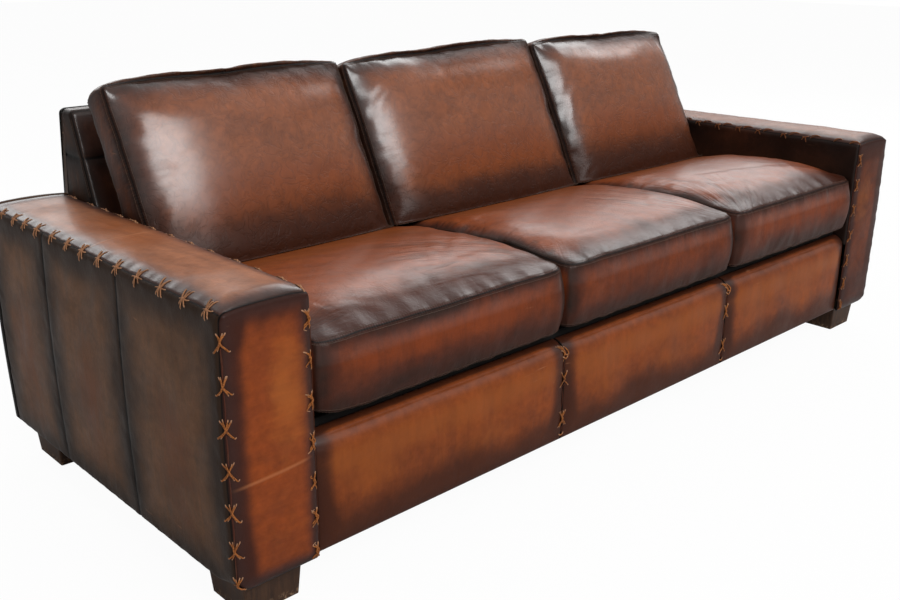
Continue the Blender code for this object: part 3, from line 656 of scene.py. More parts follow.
class Shell:
    """A closed grid on the six faces of a box, with flat coordinates kept for patterns."""

    def __init__(self, xs, ys, zs):
        self.stops = (xs, ys, zs)
        nx, ny, nz = len(xs) - 1, len(ys) - 1, len(zs) - 1
        self.counts = (nx, ny, nz)
        self.index = {}
        keys = []
        faces = []

        def at(i, j, k):
            key = (i, j, k)
            found = self.index.get(key)
            if found is None:
                found = self.index[key] = len(keys)
                keys.append(key)
            return found

        for i in range(nx):
            for j in range(ny):
                faces.append((at(i, j, nz), at(i + 1, j, nz), at(i + 1, j + 1, nz), at(i, j + 1, nz)))
                faces.append((at(i, j, 0), at(i, j + 1, 0), at(i + 1, j + 1, 0), at(i + 1, j, 0)))
        for i in range(nx):
            for k in range(nz):
                faces.append((at(i, 0, k), at(i + 1, 0, k), at(i + 1, 0, k + 1), at(i, 0, k + 1)))
                faces.append((at(i, ny, k), at(i, ny, k + 1), at(i + 1, ny, k + 1), at(i + 1, ny, k)))
        for j in range(ny):
            for k in range(nz):
                faces.append((at(0, j, k), at(0, j, k + 1), at(0, j + 1, k + 1), at(0, j + 1, k)))
                faces.append((at(nx, j, k), at(nx, j + 1, k), at(nx, j + 1, k + 1), at(nx, j, k + 1)))
        self.keys = np.array(keys)
        self.faces = faces
        self.flat = np.stack([xs[self.keys[:, 0]], ys[self.keys[:, 1]], zs[self.keys[:, 2]]], axis=1)
        self.low = self.flat.min(0)
        self.high = self.flat.max(0)
        self.gaps = np.minimum(self.flat - self.low, self.high - self.flat)

    def edge_distance(self):
        """Distance of each point to the nearest edge of its own face, on the flat box."""
        return np.sort(self.gaps, axis=1)[:, 1]

    def ring(self, axis, layer, inset=0):
        """Indices round the box at one layer of an axis, or on that end face an inset number of rows in."""
        a, b = [i for i in range(3) if i != axis]
        na, nb = self.counts[a], self.counts[b]
        path = [(i, inset) for i in range(inset, na - inset)]
        path += [(na - inset, j) for j in range(inset, nb - inset)]
        path += [(i, nb - inset) for i in range(na - inset, inset, -1)]
        path += [(inset, j) for j in range(nb - inset, inset, -1)]
        found = []
        for i, j in path:
            key = [0, 0, 0]
            key[axis], key[a], key[b] = layer, i, j
            found.append(self.index[tuple(key)])
        return found


def rounded(points, low, high, radius):
    """Rounds all the edges of a box by one radius, for points on or in its skin."""
    inner_low = low + radius
    inner_high = high - radius
    core = np.clip(points, inner_low, inner_high)
    off = points - core
    reach = np.abs(off).max(1)
    length = np.linalg.norm(off, axis=1)
    scale = np.where(length > 1e-9, reach / np.maximum(length, 1e-9), 0.0)
    return core + off * scale[:, None]


def round_corner(a, b, edge_a, edge_b, radius):
    """Rounds the corner of a section where a meets edge_a and b meets edge_b; radius may vary."""
    sign_a = 1.0 if edge_a[1] else -1.0
    sign_b = 1.0 if edge_b[1] else -1.0
    core_a = edge_a[0] - sign_a * radius
    core_b = edge_b[0] - sign_b * radius
    off_a = np.maximum((a - core_a) * sign_a, 0.0)
    off_b = np.maximum((b - core_b) * sign_b, 0.0)
    both = (off_a > 0) & (off_b > 0)
    length = np.hypot(off_a, off_b)
    scale = np.where(both, np.maximum(off_a, off_b) / np.maximum(length, 1e-9), 1.0)
    a = np.where(both, core_a + sign_a * off_a * scale, a)
    b = np.where(both, core_b + sign_b * off_b * scale, b)
    return a, b


def round_edge(points, a, b, edge_a, edge_b, radius):
    """Rounds the corner of a section across axes a and b, in place."""
    points[:, a], points[:, b] = round_corner(points[:, a], points[:, b], edge_a, edge_b, radius)

def ease(value, low, high):
    """0 up to low, rising softly to 1 at high."""
    t = np.clip((value - low) / (high - low), 0.0, 1.0)
    return t * t * (3 - 2 * t)


def fall(value, low, high):
    """1 up to low, falling softly to 0 at high."""
    return 1 - ease(value, low, high)


def wave(value, lengths, seed):
    """A smooth uneven wave, made of a few sines of the given lengths."""
    turn = random.Random(seed)
    total = np.zeros_like(value)
    for length in lengths:
        total += np.sin(value * (2 * math.pi / length) + turn.uniform(0.0, 2 * math.pi))
    return total / len(lengths)


def make_piece(name, points, faces, attributes, material):
    """A mesh piece from its points, with named numbers kept on them."""
    mesh = bpy.data.meshes.new(name)
    mesh.from_pydata(points.tolist(), [], faces)
    mesh.update()
    for key, values in attributes.items():
        layer = mesh.attributes.new(key, "FLOAT", "POINT")
        layer.data.foreach_set("value", np.asarray(values, dtype=np.float32))
    mesh.shade_smooth()
    piece = bpy.data.objects.new(name, mesh)
    bpy.context.scene.collection.objects.link(piece)
    use_material(piece, material)
    return piece


def points_of(mesh):
    found = np.empty(len(mesh.vertices) * 3)
    mesh.vertices.foreach_get("co", found)
    return found.reshape(-1, 3)


def normals_of(mesh):
    found = np.empty(len(mesh.vertices) * 3)
    mesh.vertex_normals.foreach_get("vector", found)
    return found.reshape(-1, 3)


def values_of(mesh, name):
    found = np.empty(len(mesh.vertices), dtype=np.float32)
    mesh.attributes[name].data.foreach_get("value", found)
    return found.astype(float)


def set_points(mesh, points):
    mesh.vertices.foreach_set("co", points.ravel())
    mesh.update()


def surface_tree(*pieces):
    """One search tree over the faces of some pieces."""
    points = []
    faces = []
    for piece in pieces:
        start = len(points)
        points += [tuple(vert.co) for vert in piece.data.vertices]
        faces += [tuple(index + start for index in face.vertices) for face in piece.data.polygons]
    return BVHTree.FromPolygons(points, faces)


def only(obj):
    """Makes one object the selected and active one."""
    for other in bpy.context.view_layer.objects:
        other.select_set(False)
    obj.select_set(True)
    bpy.context.view_layer.objects.active = obj


def divide(obj):
    """Adds a subdivision surface and applies it."""
    only(obj)
    smooth = obj.modifiers.new("Divide", "SUBSURF")
    smooth.levels = smooth.render_levels = 1
    bpy.ops.object.modifier_apply(modifier=smooth.name)


def settle(piece, *nodes, slot="saddle_leather", fill=None):
    """Rides on the sofa and stands for its frame solids."""
    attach(piece, "root")
    if nodes:
        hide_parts(*nodes)


# ---------------------------------------------------------------- arms


def arm_form(points):
    """Takes points of the left arm's flat box to the padded form: rolled, crowned and swollen."""
    low = np.array([-HALF, FRONT, HEM - 0.1])
    high = np.array([-INNER, REAR + 0.1, ARM_EDGE_HEIGHT])
    depth = points[:, 1] - FRONT
    form = points.copy()
    near = 1 - ease(depth, 0.0, 0.075)
    for x_edge, z_edge, radius in (
        ((low[0], False), (high[2], True), 0.02),
        ((high[0], True), (high[2], True), 0.014),
        ((low[0], False), (HEM, False), 0.012 + 0.026 * near),
    ):
        round_edge(form, 0, 2, x_edge, z_edge, radius)
    for x_edge, radius in (((low[0], False), 0.013), ((high[0], True), 0.011)):
        round_edge(form, 0, 1, x_edge, (low[1], False), radius)
    round_edge(form, 2, 1, (high[2], True), (low[1], False), 0.012)
    across = (form[:, 0] + (HALF + INNER) / 2) / ((HALF - INNER) / 2)
    crown = ARM_CROWN[0] + (ARM_CROWN[1] - ARM_CROWN[0]) * ease(depth, 0.06, REAR - FRONT)
    crown *= 0.3 + 0.7 * ease(depth, -0.004, 0.034)
    up = ease(form[:, 2], 0.42, ARM_EDGE_HEIGHT - 0.004)
    form[:, 2] += crown * np.maximum(0.0, 1 - np.abs(across) ** 2.8) * up
    height = np.clip((form[:, 2] - HEM) / (ARM_EDGE_HEIGHT - HEM), 0.0, 1.0)
    outer = ease(-across, 0.2, 1.0)
    form[:, 0] -= ARM_PUFF * np.sin(math.pi * height) * outer
    front = 1 - ease(depth, 0.0, 0.02)
    edge = np.minimum(np.minimum(1 - np.abs(across), 1.0) * (HALF - INNER) / 2, np.minimum(height, 1 - height) * 0.54)
    form[:, 1] -= ARM_PUFF * (1 - np.exp(-np.maximum(edge, 0) / 0.022)) * front
    return form


def mitred(shell, axis, sign, sides):
    """Narrows a slab's inner layer by its own thickness on the named sides, as a mitre."""
    points = shell.flat.copy()
    low, high = shell.low, shell.high
    deep = (points[:, axis] - low[axis]) if sign < 0 else (high[axis] - points[:, axis])
    for other, direction in sides:
        span = high[other] - low[other]
        if direction > 0:
            share = (points[:, other] - low[other]) / span
            points[:, other] -= deep * share
        else:
            share = (high[other] - points[:, other]) / span
            points[:, other] += deep * share
    return points


FINE = (0.002, 0.005, 0.009, 0.013, 0.018)  # rows close to a panel's edges
SEAM_DEPTH = 0.0022
SEAM_WIDTH = 0.0032
ARM_SEAMS = ((1, FRONT + 0.363), (1, FRONT + 0.697))  # upright seams of an arm's outer side


def slab(low, high, axis, sign, sides, cell, seams=()):
    """A mitred leather slab; axis is its thickness and sign the side that faces out."""
    ranges = []
    for index in range(3):
        if index == axis:
            ranges.append(np.array([low[index], (low[index] + high[index]) / 2, high[index]]))
        else:
            kept = [place for other, place in seams if other == index]
            ranges.append(stops(low[index], high[index], cell, FINE, kept))
    shell = Shell(*ranges)
    return shell, mitred(shell, axis, sign, sides)

def slab_edges(shell, axis, sign, seams=()):
    """Distance from the seams on a slab's outer face; its thin sides count as edge."""
    others = [i for i in range(3) if i != axis]
    distance = np.minimum(shell.gaps[:, others[0]], shell.gaps[:, others[1]])
    deep = (shell.flat[:, axis] - shell.low[axis]) if sign < 0 else (shell.high[axis] - shell.flat[:, axis])
    for other, place in seams:
        distance = np.minimum(distance, np.abs(shell.flat[:, other] - place))
    return np.where(deep > 1e-6, 0.0, distance), deep


def panel_form(form, low, high, axis, sign, sides, cell, seams=()):
    """A slab bent by form and pressed in along its seams, with what is needed to paint and puff it."""
    shell, flat = slab(low, high, axis, sign, sides, cell, seams)
    distance, deep = slab_edges(shell, axis, sign, seams)
    out = np.zeros((len(flat), 3))
    out[:, axis] = sign
    press = SEAM_DEPTH * np.exp(-((distance / SEAM_WIDTH) ** 2)) * (deep < 1e-6)
    return shell, flat, form(flat) - out * press[:, None], distance, deep, out

def patch(points, a, b, middle, size):
    """A soft round patch in two of the axes, 1 in its middle."""
    off_a = (points[:, a] - middle[0]) / size[0]
    off_b = (points[:, b] - middle[1]) / size[1]
    return np.exp(-(off_a**2) - off_b**2)


def scar_marks(points, a, b, start, end):
    """Where a worn line lies: how much of it shows at each point, and how far off it the point is."""
    start = np.array(start)
    way = np.array(end) - start
    length = np.linalg.norm(way)
    way = way / length
    rel = np.stack([points[:, a], points[:, b]], axis=1) - start
    along = rel @ way
    off = rel @ np.array([-way[1], way[0]])
    shown = ease(along, -0.03, 0.015) * fall(along, length - 0.015, length + 0.03)
    return {"scar": shown, "scar_off": off}


def mirrored(points, side):
    """The same points for the arm on that side."""
    if side < 0:
        return points
    turned = points.copy()
    turned[:, 0] *= -1
    return turned


def mirrored_faces(faces, side):
    return faces if side < 0 else [tuple(reversed(face)) for face in faces]


def hash_of(name):
    """A small steady number for a name."""
    return sum((index + 1) * ord(letter) for index, letter in enumerate(name)) % 9973

def arm_panel(part, label, side, low, high, axis, sign, sides, cell, finish, marks, seams=()):
    """One of an arm's four leathers, slightly uneven, with numbers painted on it by marks."""
    name = f"arm_{part}_leather_{label}"
    shell, flat, form, distance, deep, out = panel_form(arm_form, low, high, axis, sign, sides, cell, seams)
    puff = 0.0016 * wave(flat[:, 1] + flat[:, 2] * 0.6, (0.21, 0.13, 0.34), hash_of(name))
    puff *= ease(distance, 0.0, 0.06)
    # the lacing pulls small hollows in the leather beside it
    pull = 0.0017 * wave(flat[:, 1] - flat[:, 2], (0.029, 0.043, 0.071), hash_of(name) + 5)
    puff += pull * ease(distance, 0.0, 0.01) * np.exp(-distance / 0.022)
    form += out * (puff * (deep < 1e-6))[:, None]
    values = {"edge_distance": distance, **marks(flat, distance, side)}
    piece = make_piece(name, mirrored(form, side), mirrored_faces(shell.faces, side), values, finish)
    slot = "saddle_leather" if finish.startswith("saddle") else "burnished_leather"
    settle(piece, f"arm_{part}_panel_{label}", slot=slot, fill=1.0)

def front_marks(points, distance, side):
    x, _, z = points.T
    values = {
        "glow": 0.75 * patch(points, 0, 2, (-1.092, 0.44), (0.048, 0.115))
        + 0.25 * patch(points, 0, 2, (-1.105, 0.19), (0.05, 0.075)),
        "dusk": 0.8 * fall(x, -1.195, -1.16) + 0.7 * ease(x, -1.06, -1.04)
        + 0.65 * ease(z, ARM_EDGE_HEIGHT - 0.085, ARM_EDGE_HEIGHT - 0.015)
        + 0.15 * fall(z, HEM, HEM + 0.035) + 0.22 * fall(z, 0.12, 0.3)
        # the right arm's front is painted darker all over, as painted shade
        + (0.62 if side > 0 else 0.0),
    }
    if side < 0:
        values.update(scar_marks(points, 0, 2, (-1.187, 0.294), (-1.067, 0.301)))
    return values

def top_marks(points, distance, side):
    x = points[:, 0]
    depth = points[:, 1] - FRONT
    values = {
        "glow": 0.65 * ease(depth, 0.26, 0.46) * fall(depth, 0.62, 0.86)
        * patch(points, 0, 0, (-1.105, -1.105), (0.085, 1.0)),
        # darker in a patch at the rear, beside the back, as painted shade; the whole right arm top is painted darker as
        # painted shade too
        "dusk": 0.5 * patch(points, 0, 1, (-1.125, REAR), (0.2, 0.1)) + 0.95 * fall(x, -1.212, -1.182)
        + 0.5 * ease(x, -1.062, -1.04) + (0.55 if side > 0 else 0.0),
        "matt": np.full(len(points), 0.85 if side > 0 else 0.0),
        "polish": (0.15 if side > 0 else 0.28) * fall(x, -1.2, -1.182)
        * ease(distance, 0.004, 0.01) * (1 - 0.75 * ease(depth, 0.3, 0.62)),
    }
    if side < 0:
        values.update(scar_marks(points, 0, 1, (-1.195, 0.001), (-1.071, 0.01)))
    return values

def side_marks(points, distance, side):
    depth = points[:, 1] - FRONT
    z = points[:, 2]
    shown = np.zeros(len(points))
    for middle in (0.17, 0.52, 0.84):
        rel = (depth - middle) / 0.085
        shown = np.maximum(shown, np.exp(-(rel**2)) * np.exp(-(((z - 0.3) / 0.17) ** 2)))
    dusk = 0.45 * fall(z, HEM, HEM + 0.09)
    dusk += 0.75 * ease(z, ARM_EDGE_HEIGHT - 0.11, ARM_EDGE_HEIGHT - 0.01)
    dusk += 0.9 * fall(depth, 0.012, 0.05)
    return {"glow": 0.62 * shown, "dusk": dusk}

def inner_marks(points, distance, side):
    depth = points[:, 1] - FRONT
    return {
        "glow": 0.5 * patch(points, 1, 2, (FRONT + 0.42, 0.6), (0.16, 0.06)),
        "dusk": 0.6 * np.exp(-(((depth - 0.25) / 0.05) ** 2)) + 0.6 * fall(depth, 0.02, 0.12),
    }

def make_arms():
    top = ARM_EDGE_HEIGHT
    for label, side in SIDES:
        arm_panel("front", label, side, (-HALF + HAIR, FRONT, HEM), (-INNER - HAIR, FRONT + PAD, top - HAIR), 1, -1,
                  ((0, -1), (0, 1), (2, 1)), 0.008, "saddle leather, arm fronts", front_marks)
        arm_panel("top", label, side, (-HALF + HAIR, FRONT + HAIR, top - PAD), (-INNER - HAIR, REAR, top), 2, 1,
                  ((0, -1), (0, 1), (1, -1)), 0.009, "saddle leather, arm tops", top_marks)
        arm_panel("outer", label, side, (-HALF, FRONT + HAIR, HEM), (-HALF + PAD, REAR, top - HAIR), 0, -1,
                  ((1, -1), (2, 1)), 0.01, "burnished leather, arm sides", side_marks, ARM_SEAMS)
        arm_panel("inner", label, side, (-INNER - PAD, FRONT + HAIR, BOARD_LOW), (-INNER, REAR, top - HAIR), 0, 1,
                  ((1, -1), (2, 1)), 0.01, "burnished leather, inner sides", inner_marks)

# ---------------------------------------------------------------- front rail


def make_rail():
    for index, label in enumerate(SEATS):
        low, high = (np.array(corner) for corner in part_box(f"front_rail_panel_{label}"))
        low[1] += 0.012
        high[2] += 0.008
        xs = stops(low[0], high[0], 0.009, FINE)
        ys = stops(low[1], high[1], 0.007, (0.004, 0.009))
        zs = stops(low[2], high[2], 0.007, FINE)
        shell = Shell(xs, ys, zs)
        x, y, z = shell.flat.T
        points = shell.flat.copy()
        for x_edge in ((low[0], False), (high[0], True)):
            round_edge(points, 0, 1, x_edge, (low[1], False), 0.005)
            round_edge(points, 0, 2, x_edge, (high[2], True), 0.006)
        round_edge(points, 1, 2, (low[1], False), (low[2], False), 0.009)
        round_edge(points, 1, 2, (low[1], False), (high[2], True), 0.034)
        across = (x - (low[0] + high[0]) / 2) / ((high[0] - low[0]) / 2)
        up = (z - (low[2] + high[2]) / 2) / ((high[2] - low[2]) / 2)
        front = 1 - (y - low[1]) / (high[1] - low[1])
        side_gap = shell.gaps[:, 0]
        # the padding swells most under the roll
        swell = 0.01 * (1 - np.exp(-side_gap / 0.034)) * (1 - np.abs(up) ** 2.4) * front
        swell += 0.003 * np.exp(-(((z - 0.285) / 0.028) ** 2)) * (1 - np.exp(-side_gap / 0.03)) * front
        ripple = 0.0022 * wave(x * 0.9 + z * 0.5, (0.31, 0.19, 0.12), 11 + index)
        points[:, 1] -= swell + ripple * (1 - np.abs(across) ** 4) * (1 - np.abs(up) ** 4) * front
        distance = np.minimum(side_gap, (z - low[2]) * 1.6 + 0.003)
        middle = (low[0] + high[0]) / 2
        width = high[0] - low[0]
        glow = 0.8 * np.exp(-(((z - 0.266) / 0.032) ** 2))
        glow += 0.55 * patch(shell.flat, 0, 2, (middle - 0.3 * width, 0.2), (0.1, 0.05))
        glow += 0.6 * patch(shell.flat, 0, 2, (middle + 0.12 * width, 0.18), (0.12, 0.05))
        dusk = 0.75 * fall(side_gap, 0.014, 0.06)
        dusk += 0.25 * patch(shell.flat, 0, 2, (middle - 0.05 * width, 0.15), (0.1, 0.06))
        foot = low[2] + 0.15 + 0.02 * wave(x, (0.31, 0.19), 3)
        dusk += 1.15 * fall(z, low[2] - 0.02, foot)
        # the top behind the roll is painted dark, as the shadow under the seat cushions
        dusk += 0.9 * ease(y, low[1] + 0.006, low[1] + 0.02)
        piece = make_piece(
            f"front_rail_leather_{label}",
            points,
            shell.faces,
            {
                "edge_distance": distance,
                "glow": glow * (1 - np.clip(dusk, 0, 1) * 0.6),
                "dusk": dusk,
                "polish": 0.9 * ease(z, high[2] - 0.036, high[2] - 0.014) * ease(side_gap, 0.001, 0.01),
            },
            "saddle leather, front rail",
        )
        settle(piece, f"front_rail_panel_{label}", fill=0.95)


def window(value, low, high, soft):
    """1 between low and high, falling softly to 0 outside."""
    return ease(value, low, low + soft) * fall(value, high - soft, high)


def fan_marks(x, y, fans):
    """Folds that run together at a pivot: (pivot, reach, sweep in degrees, curl, amount, closeness)."""
    best = np.zeros(len(x))
    run = np.zeros(len(x))
    across = np.zeros(len(x))
    for pivot, reach, sweep, curl, amount, close in fans:
        dx = x - pivot[0]
        dy = y - pivot[1]
        far = np.hypot(dx, dy)
        angle = np.arctan2(dy, dx) + curl * (far - reach[0])
        shown = amount * window(far, reach[0], reach[1], 0.35 * (reach[1] - reach[0]))
        low, high = math.radians(sweep[0]), math.radians(sweep[1])
        shown = shown * window(angle, low, high, 0.3 * (high - low))
        chosen = shown > best
        mean = 0.6 * reach[0] + 0.4 * reach[1]
        run = np.where(chosen, far, run)
        across = np.where(chosen, angle * mean * close + 3.0 * pivot[0], across)
        best = np.where(chosen, shown, best)
    return {"fold": best, "fold_run": run, "fold_across": across}


SEAT_FANS = (
    (((0.8, -0.06), (0.09, 0.62), (98, 168), -0.55, 1.0, 1.0), ((-0.3, 0.045), (0.3, 0.42), (-14, 14), 0.0, 0.8, 1.6)),
    (((0.75, -0.04), (0.05, 0.54), (95, 178), 0.75, 1.0, 1.35), ((-0.1, -0.14), (0.14, 0.31), (30, 75), 0.4, 0.5, 1.0)),
    (((-0.07, -0.1), (0.08, 0.5), (12, 84), -0.7, 1.0, 1.25), ((0.78, -0.1), (0.14, 0.35), (100, 160), 0.4, 0.5, 1.1)),
)
BACK_FANS = (
    (((-0.05, 0.53), (0.07, 0.27), (-80, -12), 0.5, 0.05, 1.0), ((-0.05, -0.05), (0.1, 0.31), (18, 78), -0.5, 0.22, 1.2)),
    (((-0.04, 0.5), (0.05, 0.26), (-80, -12), 0.6, 0.1, 1.2), ((0.74, -0.05), (0.12, 0.32), (105, 160), 0.4, 0.22, 1.0)),
    (((-0.05, 0.5), (0.06, 0.26), (-80, -15), 0.6, 0.08, 1.1), ((0.72, 0.5), (0.1, 0.3), (-165, -105), 0.5, 0.35, 1.3)),
)


def seat_marks(index, shell, seam):
    """Numbers painted on one seat cushion: folds, pulls, warmth and darkness."""
    x = shell.flat[:, 0] - shell.low[0]
    y = shell.flat[:, 1] - shell.low[1]
    size = shell.high - shell.low
    share = (shell.flat[:, 2] - shell.low[2]) / size[2]
    top = share > 1 - 1e-6
    side_gap = shell.gaps[:, 0]
    values = fan_marks(x, y, SEAT_FANS[index])
    values["fold"] = values["fold"] * top * ease(seam, 0.0, 0.02)
    left = 1 - ease(x, 0.0, 0.1)
    right = 1 - ease(size[0] - x, 0.0, 0.1)
    pull = (0.25, 0.95, 0.6)[index] * left * window(y, 0.0, 0.66, 0.1)
    pull += (0.35, 0.35, 0.15)[index] * right * window(y, 0.0, 0.66, 0.1)
    pull = np.maximum(pull, 0.12 * fall(y, 0.0, 0.06))
    values["pull"] = np.where(top, pull, 0.3)
    flat = np.minimum(side_gap * 1.7, np.minimum(y * 0.75 + 0.004, (size[1] - y) * 1.4))
    box = np.minimum((1 - share) * size[2] * 1.6 + 0.004, share * size[2] * 0.6)
    box = np.minimum(box, np.maximum(side_gap, 0) * 0.9 + np.where(shell.gaps[:, 1] > 1e-6, 0.05, 0.0))
    values["edge_distance"] = np.where(top, flat, box)
    across = x / size[0]
    rear = ease(y, 0.2, 0.46) * window(across, 0.0, 1.0, 0.22)
    patches = 0.5 + 0.5 * wave(x + 0.3 * share * size[2], (0.21, 0.13, 0.075), 31 + index)
    band = (0.8, 0.34, 0.65)[index] * window(share, 0.34, 0.92, 0.25) * window(across, 0.02, 0.98, 0.2)
    values["glow"] = np.where(top, 0.85 * rear, band * (0.55 + 0.6 * patches))
    reach = ((0.05, 0.15), (0.03, 0.12), (0.04, 0.14))[index]
    front = 1 - ease(y + 0.02 * wave(x, (0.31, 0.17), 5 + index), *reach)
    if index == 1:
        front = front * (0.35 + 0.65 * ease(across, 0.25, 0.55))
    # darker towards the bottom of the boxing, where it rolls under: painted shade
    below = 0.5 * fall(share, 0.1, 0.45)
    values["dusk"] = np.where(top, 0.8 * front, below)
    corner = np.exp(-((x / 0.11) ** 2) - (y / 0.09) ** 2) if index == 0 else 0.0
    shy = (0.0, 0.5 * ease(across, 0.4, 0.8), 0.7 * ease(across, 0.15, 0.45))[index]
    dull = 0.9 * ease(y, 0.26, 0.46) * (1 - shy)
    dull += (0.9, 0.55, 0.5)[index] * window(y, 0.024, 0.085, 0.03) * (1 - corner)
    values["matt"] = np.where(top, dull, 0.0)
    values["polish"] = np.where(top, 0.35 * corner, 0.55 * window(share, 0.66, 0.99, 0.14))
    return values


def back_marks(index, shell, seam, distance):
    """Numbers painted on one back cushion: folds, pulls, warmth and darkness."""
    x = shell.flat[:, 0] - shell.low[0]
    y = shell.flat[:, 1]
    size = shell.high - shell.low
    height = shell.high[1]
    front = shell.flat[:, 2] > -1e-6
    values = fan_marks(x, y, BACK_FANS[index])
    values["fold"] = values["fold"] * front * ease(seam, 0.0, 0.02)
    top = 1 - ease(height - y, 0.0, 0.09)
    left = 1 - ease(x, 0.0, 0.1)
    right = 1 - ease(size[0] - x, 0.0, 0.1)
    across = x / size[0]
    along_top = (0.3 + 0.25 * across, 0.3 + 0.45 * across, 0.25 + 0.75 * ease(across, 0.35, 0.65))[index]
    pull = top * along_top
    pull = np.maximum(pull, left * (0.3, 0.95, 0.45)[index] * window(y, 0.0, (0.46, 0.3, 0.4)[index], 0.09))
    pull = np.maximum(pull, right * 0.25)
    values["pull"] = np.where(front, pull, 0.25)
    side_gap = shell.gaps[:, 0]
    flat = np.minimum(side_gap * 1.15, (height - y) * 1.1)
    flat = np.minimum(flat, np.maximum(y, 0.0) * 0.75 + 0.006)
    values["edge_distance"] = np.where(front, flat, distance)
    values["glow"] = np.where(
        front, 0.9 * patch(shell.flat, 1, 1, (0.135, 0.135), (0.085, 10.0)) * window(across, 0.02, 0.98, 0.2), 0.15
    )
    # darker at the bottom, where the cushion sits on the seat, and at the left shoulder: both painted shade
    bottom = 1 - ease(y, 0.01, (0.19, 0.13, 0.2)[index])
    values["dusk"] = np.where(front, 0.95 * bottom + 0.25 * left, 0.1)
    dull = 0.9 * fall(y, 0.08, 0.22)
    dull += 0.95 * ease(y, height - 0.085, height - 0.03) * ease(across, 0.24, 0.46)
    if index == 0:
        dull += 0.7 * ease(y, height - 0.2, height - 0.09) * ease(across, 0.55, 0.82)
    if index == 1:
        dull += 0.75 * ease(y, height - 0.18, height - 0.11) * ease(across, 0.24, 0.46)
    values["matt"] = np.where(front, np.minimum(dull, 0.95), 0.7)
    values["polish"] = np.where(y > height - 0.001, 0.6, 0.0)
    values["edge_distance"] = np.where(~front & (y > height - 0.001), 0.05, values["edge_distance"])
    return values


def two_leathers(piece, shell, panels, boxing):
    """Puts one finish on a cushion's two big faces and the other on its boxing."""
    use_material(piece, panels)
    piece.data.materials.append(bpy.data.materials[boxing])
    big = 2 * shell.counts[0] * shell.counts[1]
    for number, face in enumerate(piece.data.polygons):
        face.material_index = 0 if number < big else 1


# ---------------------------------------------------------------- cushions


def boxed_cushion(low, high, corner, cell):
    """A flat boxed form whose upright corners are rounded, with its seams on rows of points."""
    shell = Shell(*(stops(start, end, cell, (0.006, 0.014)) for start, end in zip(low, high)))
    points = shell.flat.copy()
    for x_high in (False, True):
        for y_high in (False, True):
            x_edge = (high[0] if x_high else low[0], x_high)
            y_edge = (high[1] if y_high else low[1], y_high)
            round_edge(points, 0, 1, x_edge, y_edge, corner)
    return shell, points


def seam_values(shell):
    """Distance to the sewn seams, distance along them, and distance to any edge."""
    gaps = shell.gaps
    flat = shell.flat
    low, high = shell.low, shell.high
    on_panel = gaps[:, 2] < 1e-6
    seam = np.where(on_panel, np.minimum(gaps[:, 0], gaps[:, 1]), gaps[:, 2])
    width = high[0] - low[0]
    depth = high[1] - low[1]
    middle = (low[0] + high[0]) / 2
    side = np.where(flat[:, 0] >= middle, 1.0, -1.0)
    front_gap = flat[:, 1] - low[1]
    rear_gap = high[1] - flat[:, 1]
    side_gap = gaps[:, 0]
    along_front = flat[:, 0] - middle
    along_side = side * (width / 2 + front_gap)
    along_rear = side * (width + depth - np.abs(flat[:, 0] - middle))
    along = np.where(
        (front_gap <= side_gap) & (front_gap <= rear_gap),
        along_front,
        np.where(side_gap <= rear_gap, along_side, along_rear),
    )
    return seam, along, shell.edge_distance()


def fill_cushions(forms):
    """Fills several closed leather forms at once with Blender's cloth, then limits how far each moved."""
    settings = bpy.context.scene.sofa_cushions
    scene = bpy.context.scene
    for piece, _, _ in forms:
        only(piece)
        cloth = piece.modifiers.new("Filling", "CLOTH")
        physics = cloth.settings
        physics.quality = 5
        physics.mass = 0.3
        physics.use_pressure = True
        physics.uniform_pressure_force = settings.pressure
        physics.tension_stiffness = 15
        physics.compression_stiffness = 12
        physics.shear_stiffness = 5
        physics.bending_stiffness = 0.35
        physics.effector_weights.gravity = 0
        physics.vertex_group_shrink = "seams"
        physics.shrink_min = -0.022
        physics.shrink_max = 0.03
        physics.vertex_group_mass = "held"
        physics.pin_stiffness = 0.6
        cloth.collision_settings.use_collision = False
        cloth.point_cache.frame_start = 1
        cloth.point_cache.frame_end = settings.frames
    scene.frame_start = 1
    scene.frame_end = settings.frames
    for step in range(1, settings.frames + 1):
        scene.frame_set(step)
    for piece, start, _ in forms:
        only(piece)
        bpy.ops.object.modifier_apply(modifier="Filling")
        moved = points_of(piece.data) - start
        far = np.linalg.norm(moved, axis=1)
        give = settings.give
        scale = np.where(far > 1e-9, give * np.tanh(far / give) / np.maximum(far, 1e-9), 1.0)
        set_points(piece.data, start + moved * scale[:, None])
    scene.frame_set(1)


def seam_rings(shell):
    """The rows of points on a cushion's two sewn seams."""
    return shell.ring(2, shell.counts[2]), shell.ring(2, 0)

def hold_groups(piece, shell, held):
    """Vertex groups for the cloth: seams draw in, held points stay."""
    seams = piece.vertex_groups.new(name="seams")
    seams.add(list(range(len(piece.data.vertices))), 0.0, "REPLACE")
    seams.add([i for ring in seam_rings(shell) for i in ring], 1.0, "REPLACE")
    pins = piece.vertex_groups.new(name="held")
    for weight in (0.25, 0.6, 1.0):
        chosen = [int(i) for i in np.where((held >= weight - 0.15) & (held < weight + 0.2))[0]]
        if chosen:
            pins.add(chosen, weight, "REPLACE")


def soft_limit(value, limit, below=True, reach=0.006):
    """Keeps a value under (or over) a limit, easing into it over a short reach."""
    gap = (limit - value) if below else (value - limit)
    eased = np.where(gap > reach, gap, reach * np.exp(np.minimum(gap / reach - 1.0, 0.0)))
    return limit - eased if below else limit + eased


def contact_height(y):
    """Height of the slope between seat and back cushions."""
    return CONTACT_POINT[1] - CONTACT_FALL * (y - CONTACT_POINT[0])


def limit_seat(points, low, high):
    """Keeps a seat in its room and under the back cushions."""
    points[:, 2] = soft_limit(points[:, 2], low[2], False, 0.006)
    points[:, 2] = soft_limit(points[:, 2], contact_height(points[:, 1]) - CLEAR, True, 0.006)
    points[:, 1] = np.maximum(points[:, 1], low[1] - 0.006)
    points[:, 1] = soft_limit(points[:, 1], high[1], True, 0.004)

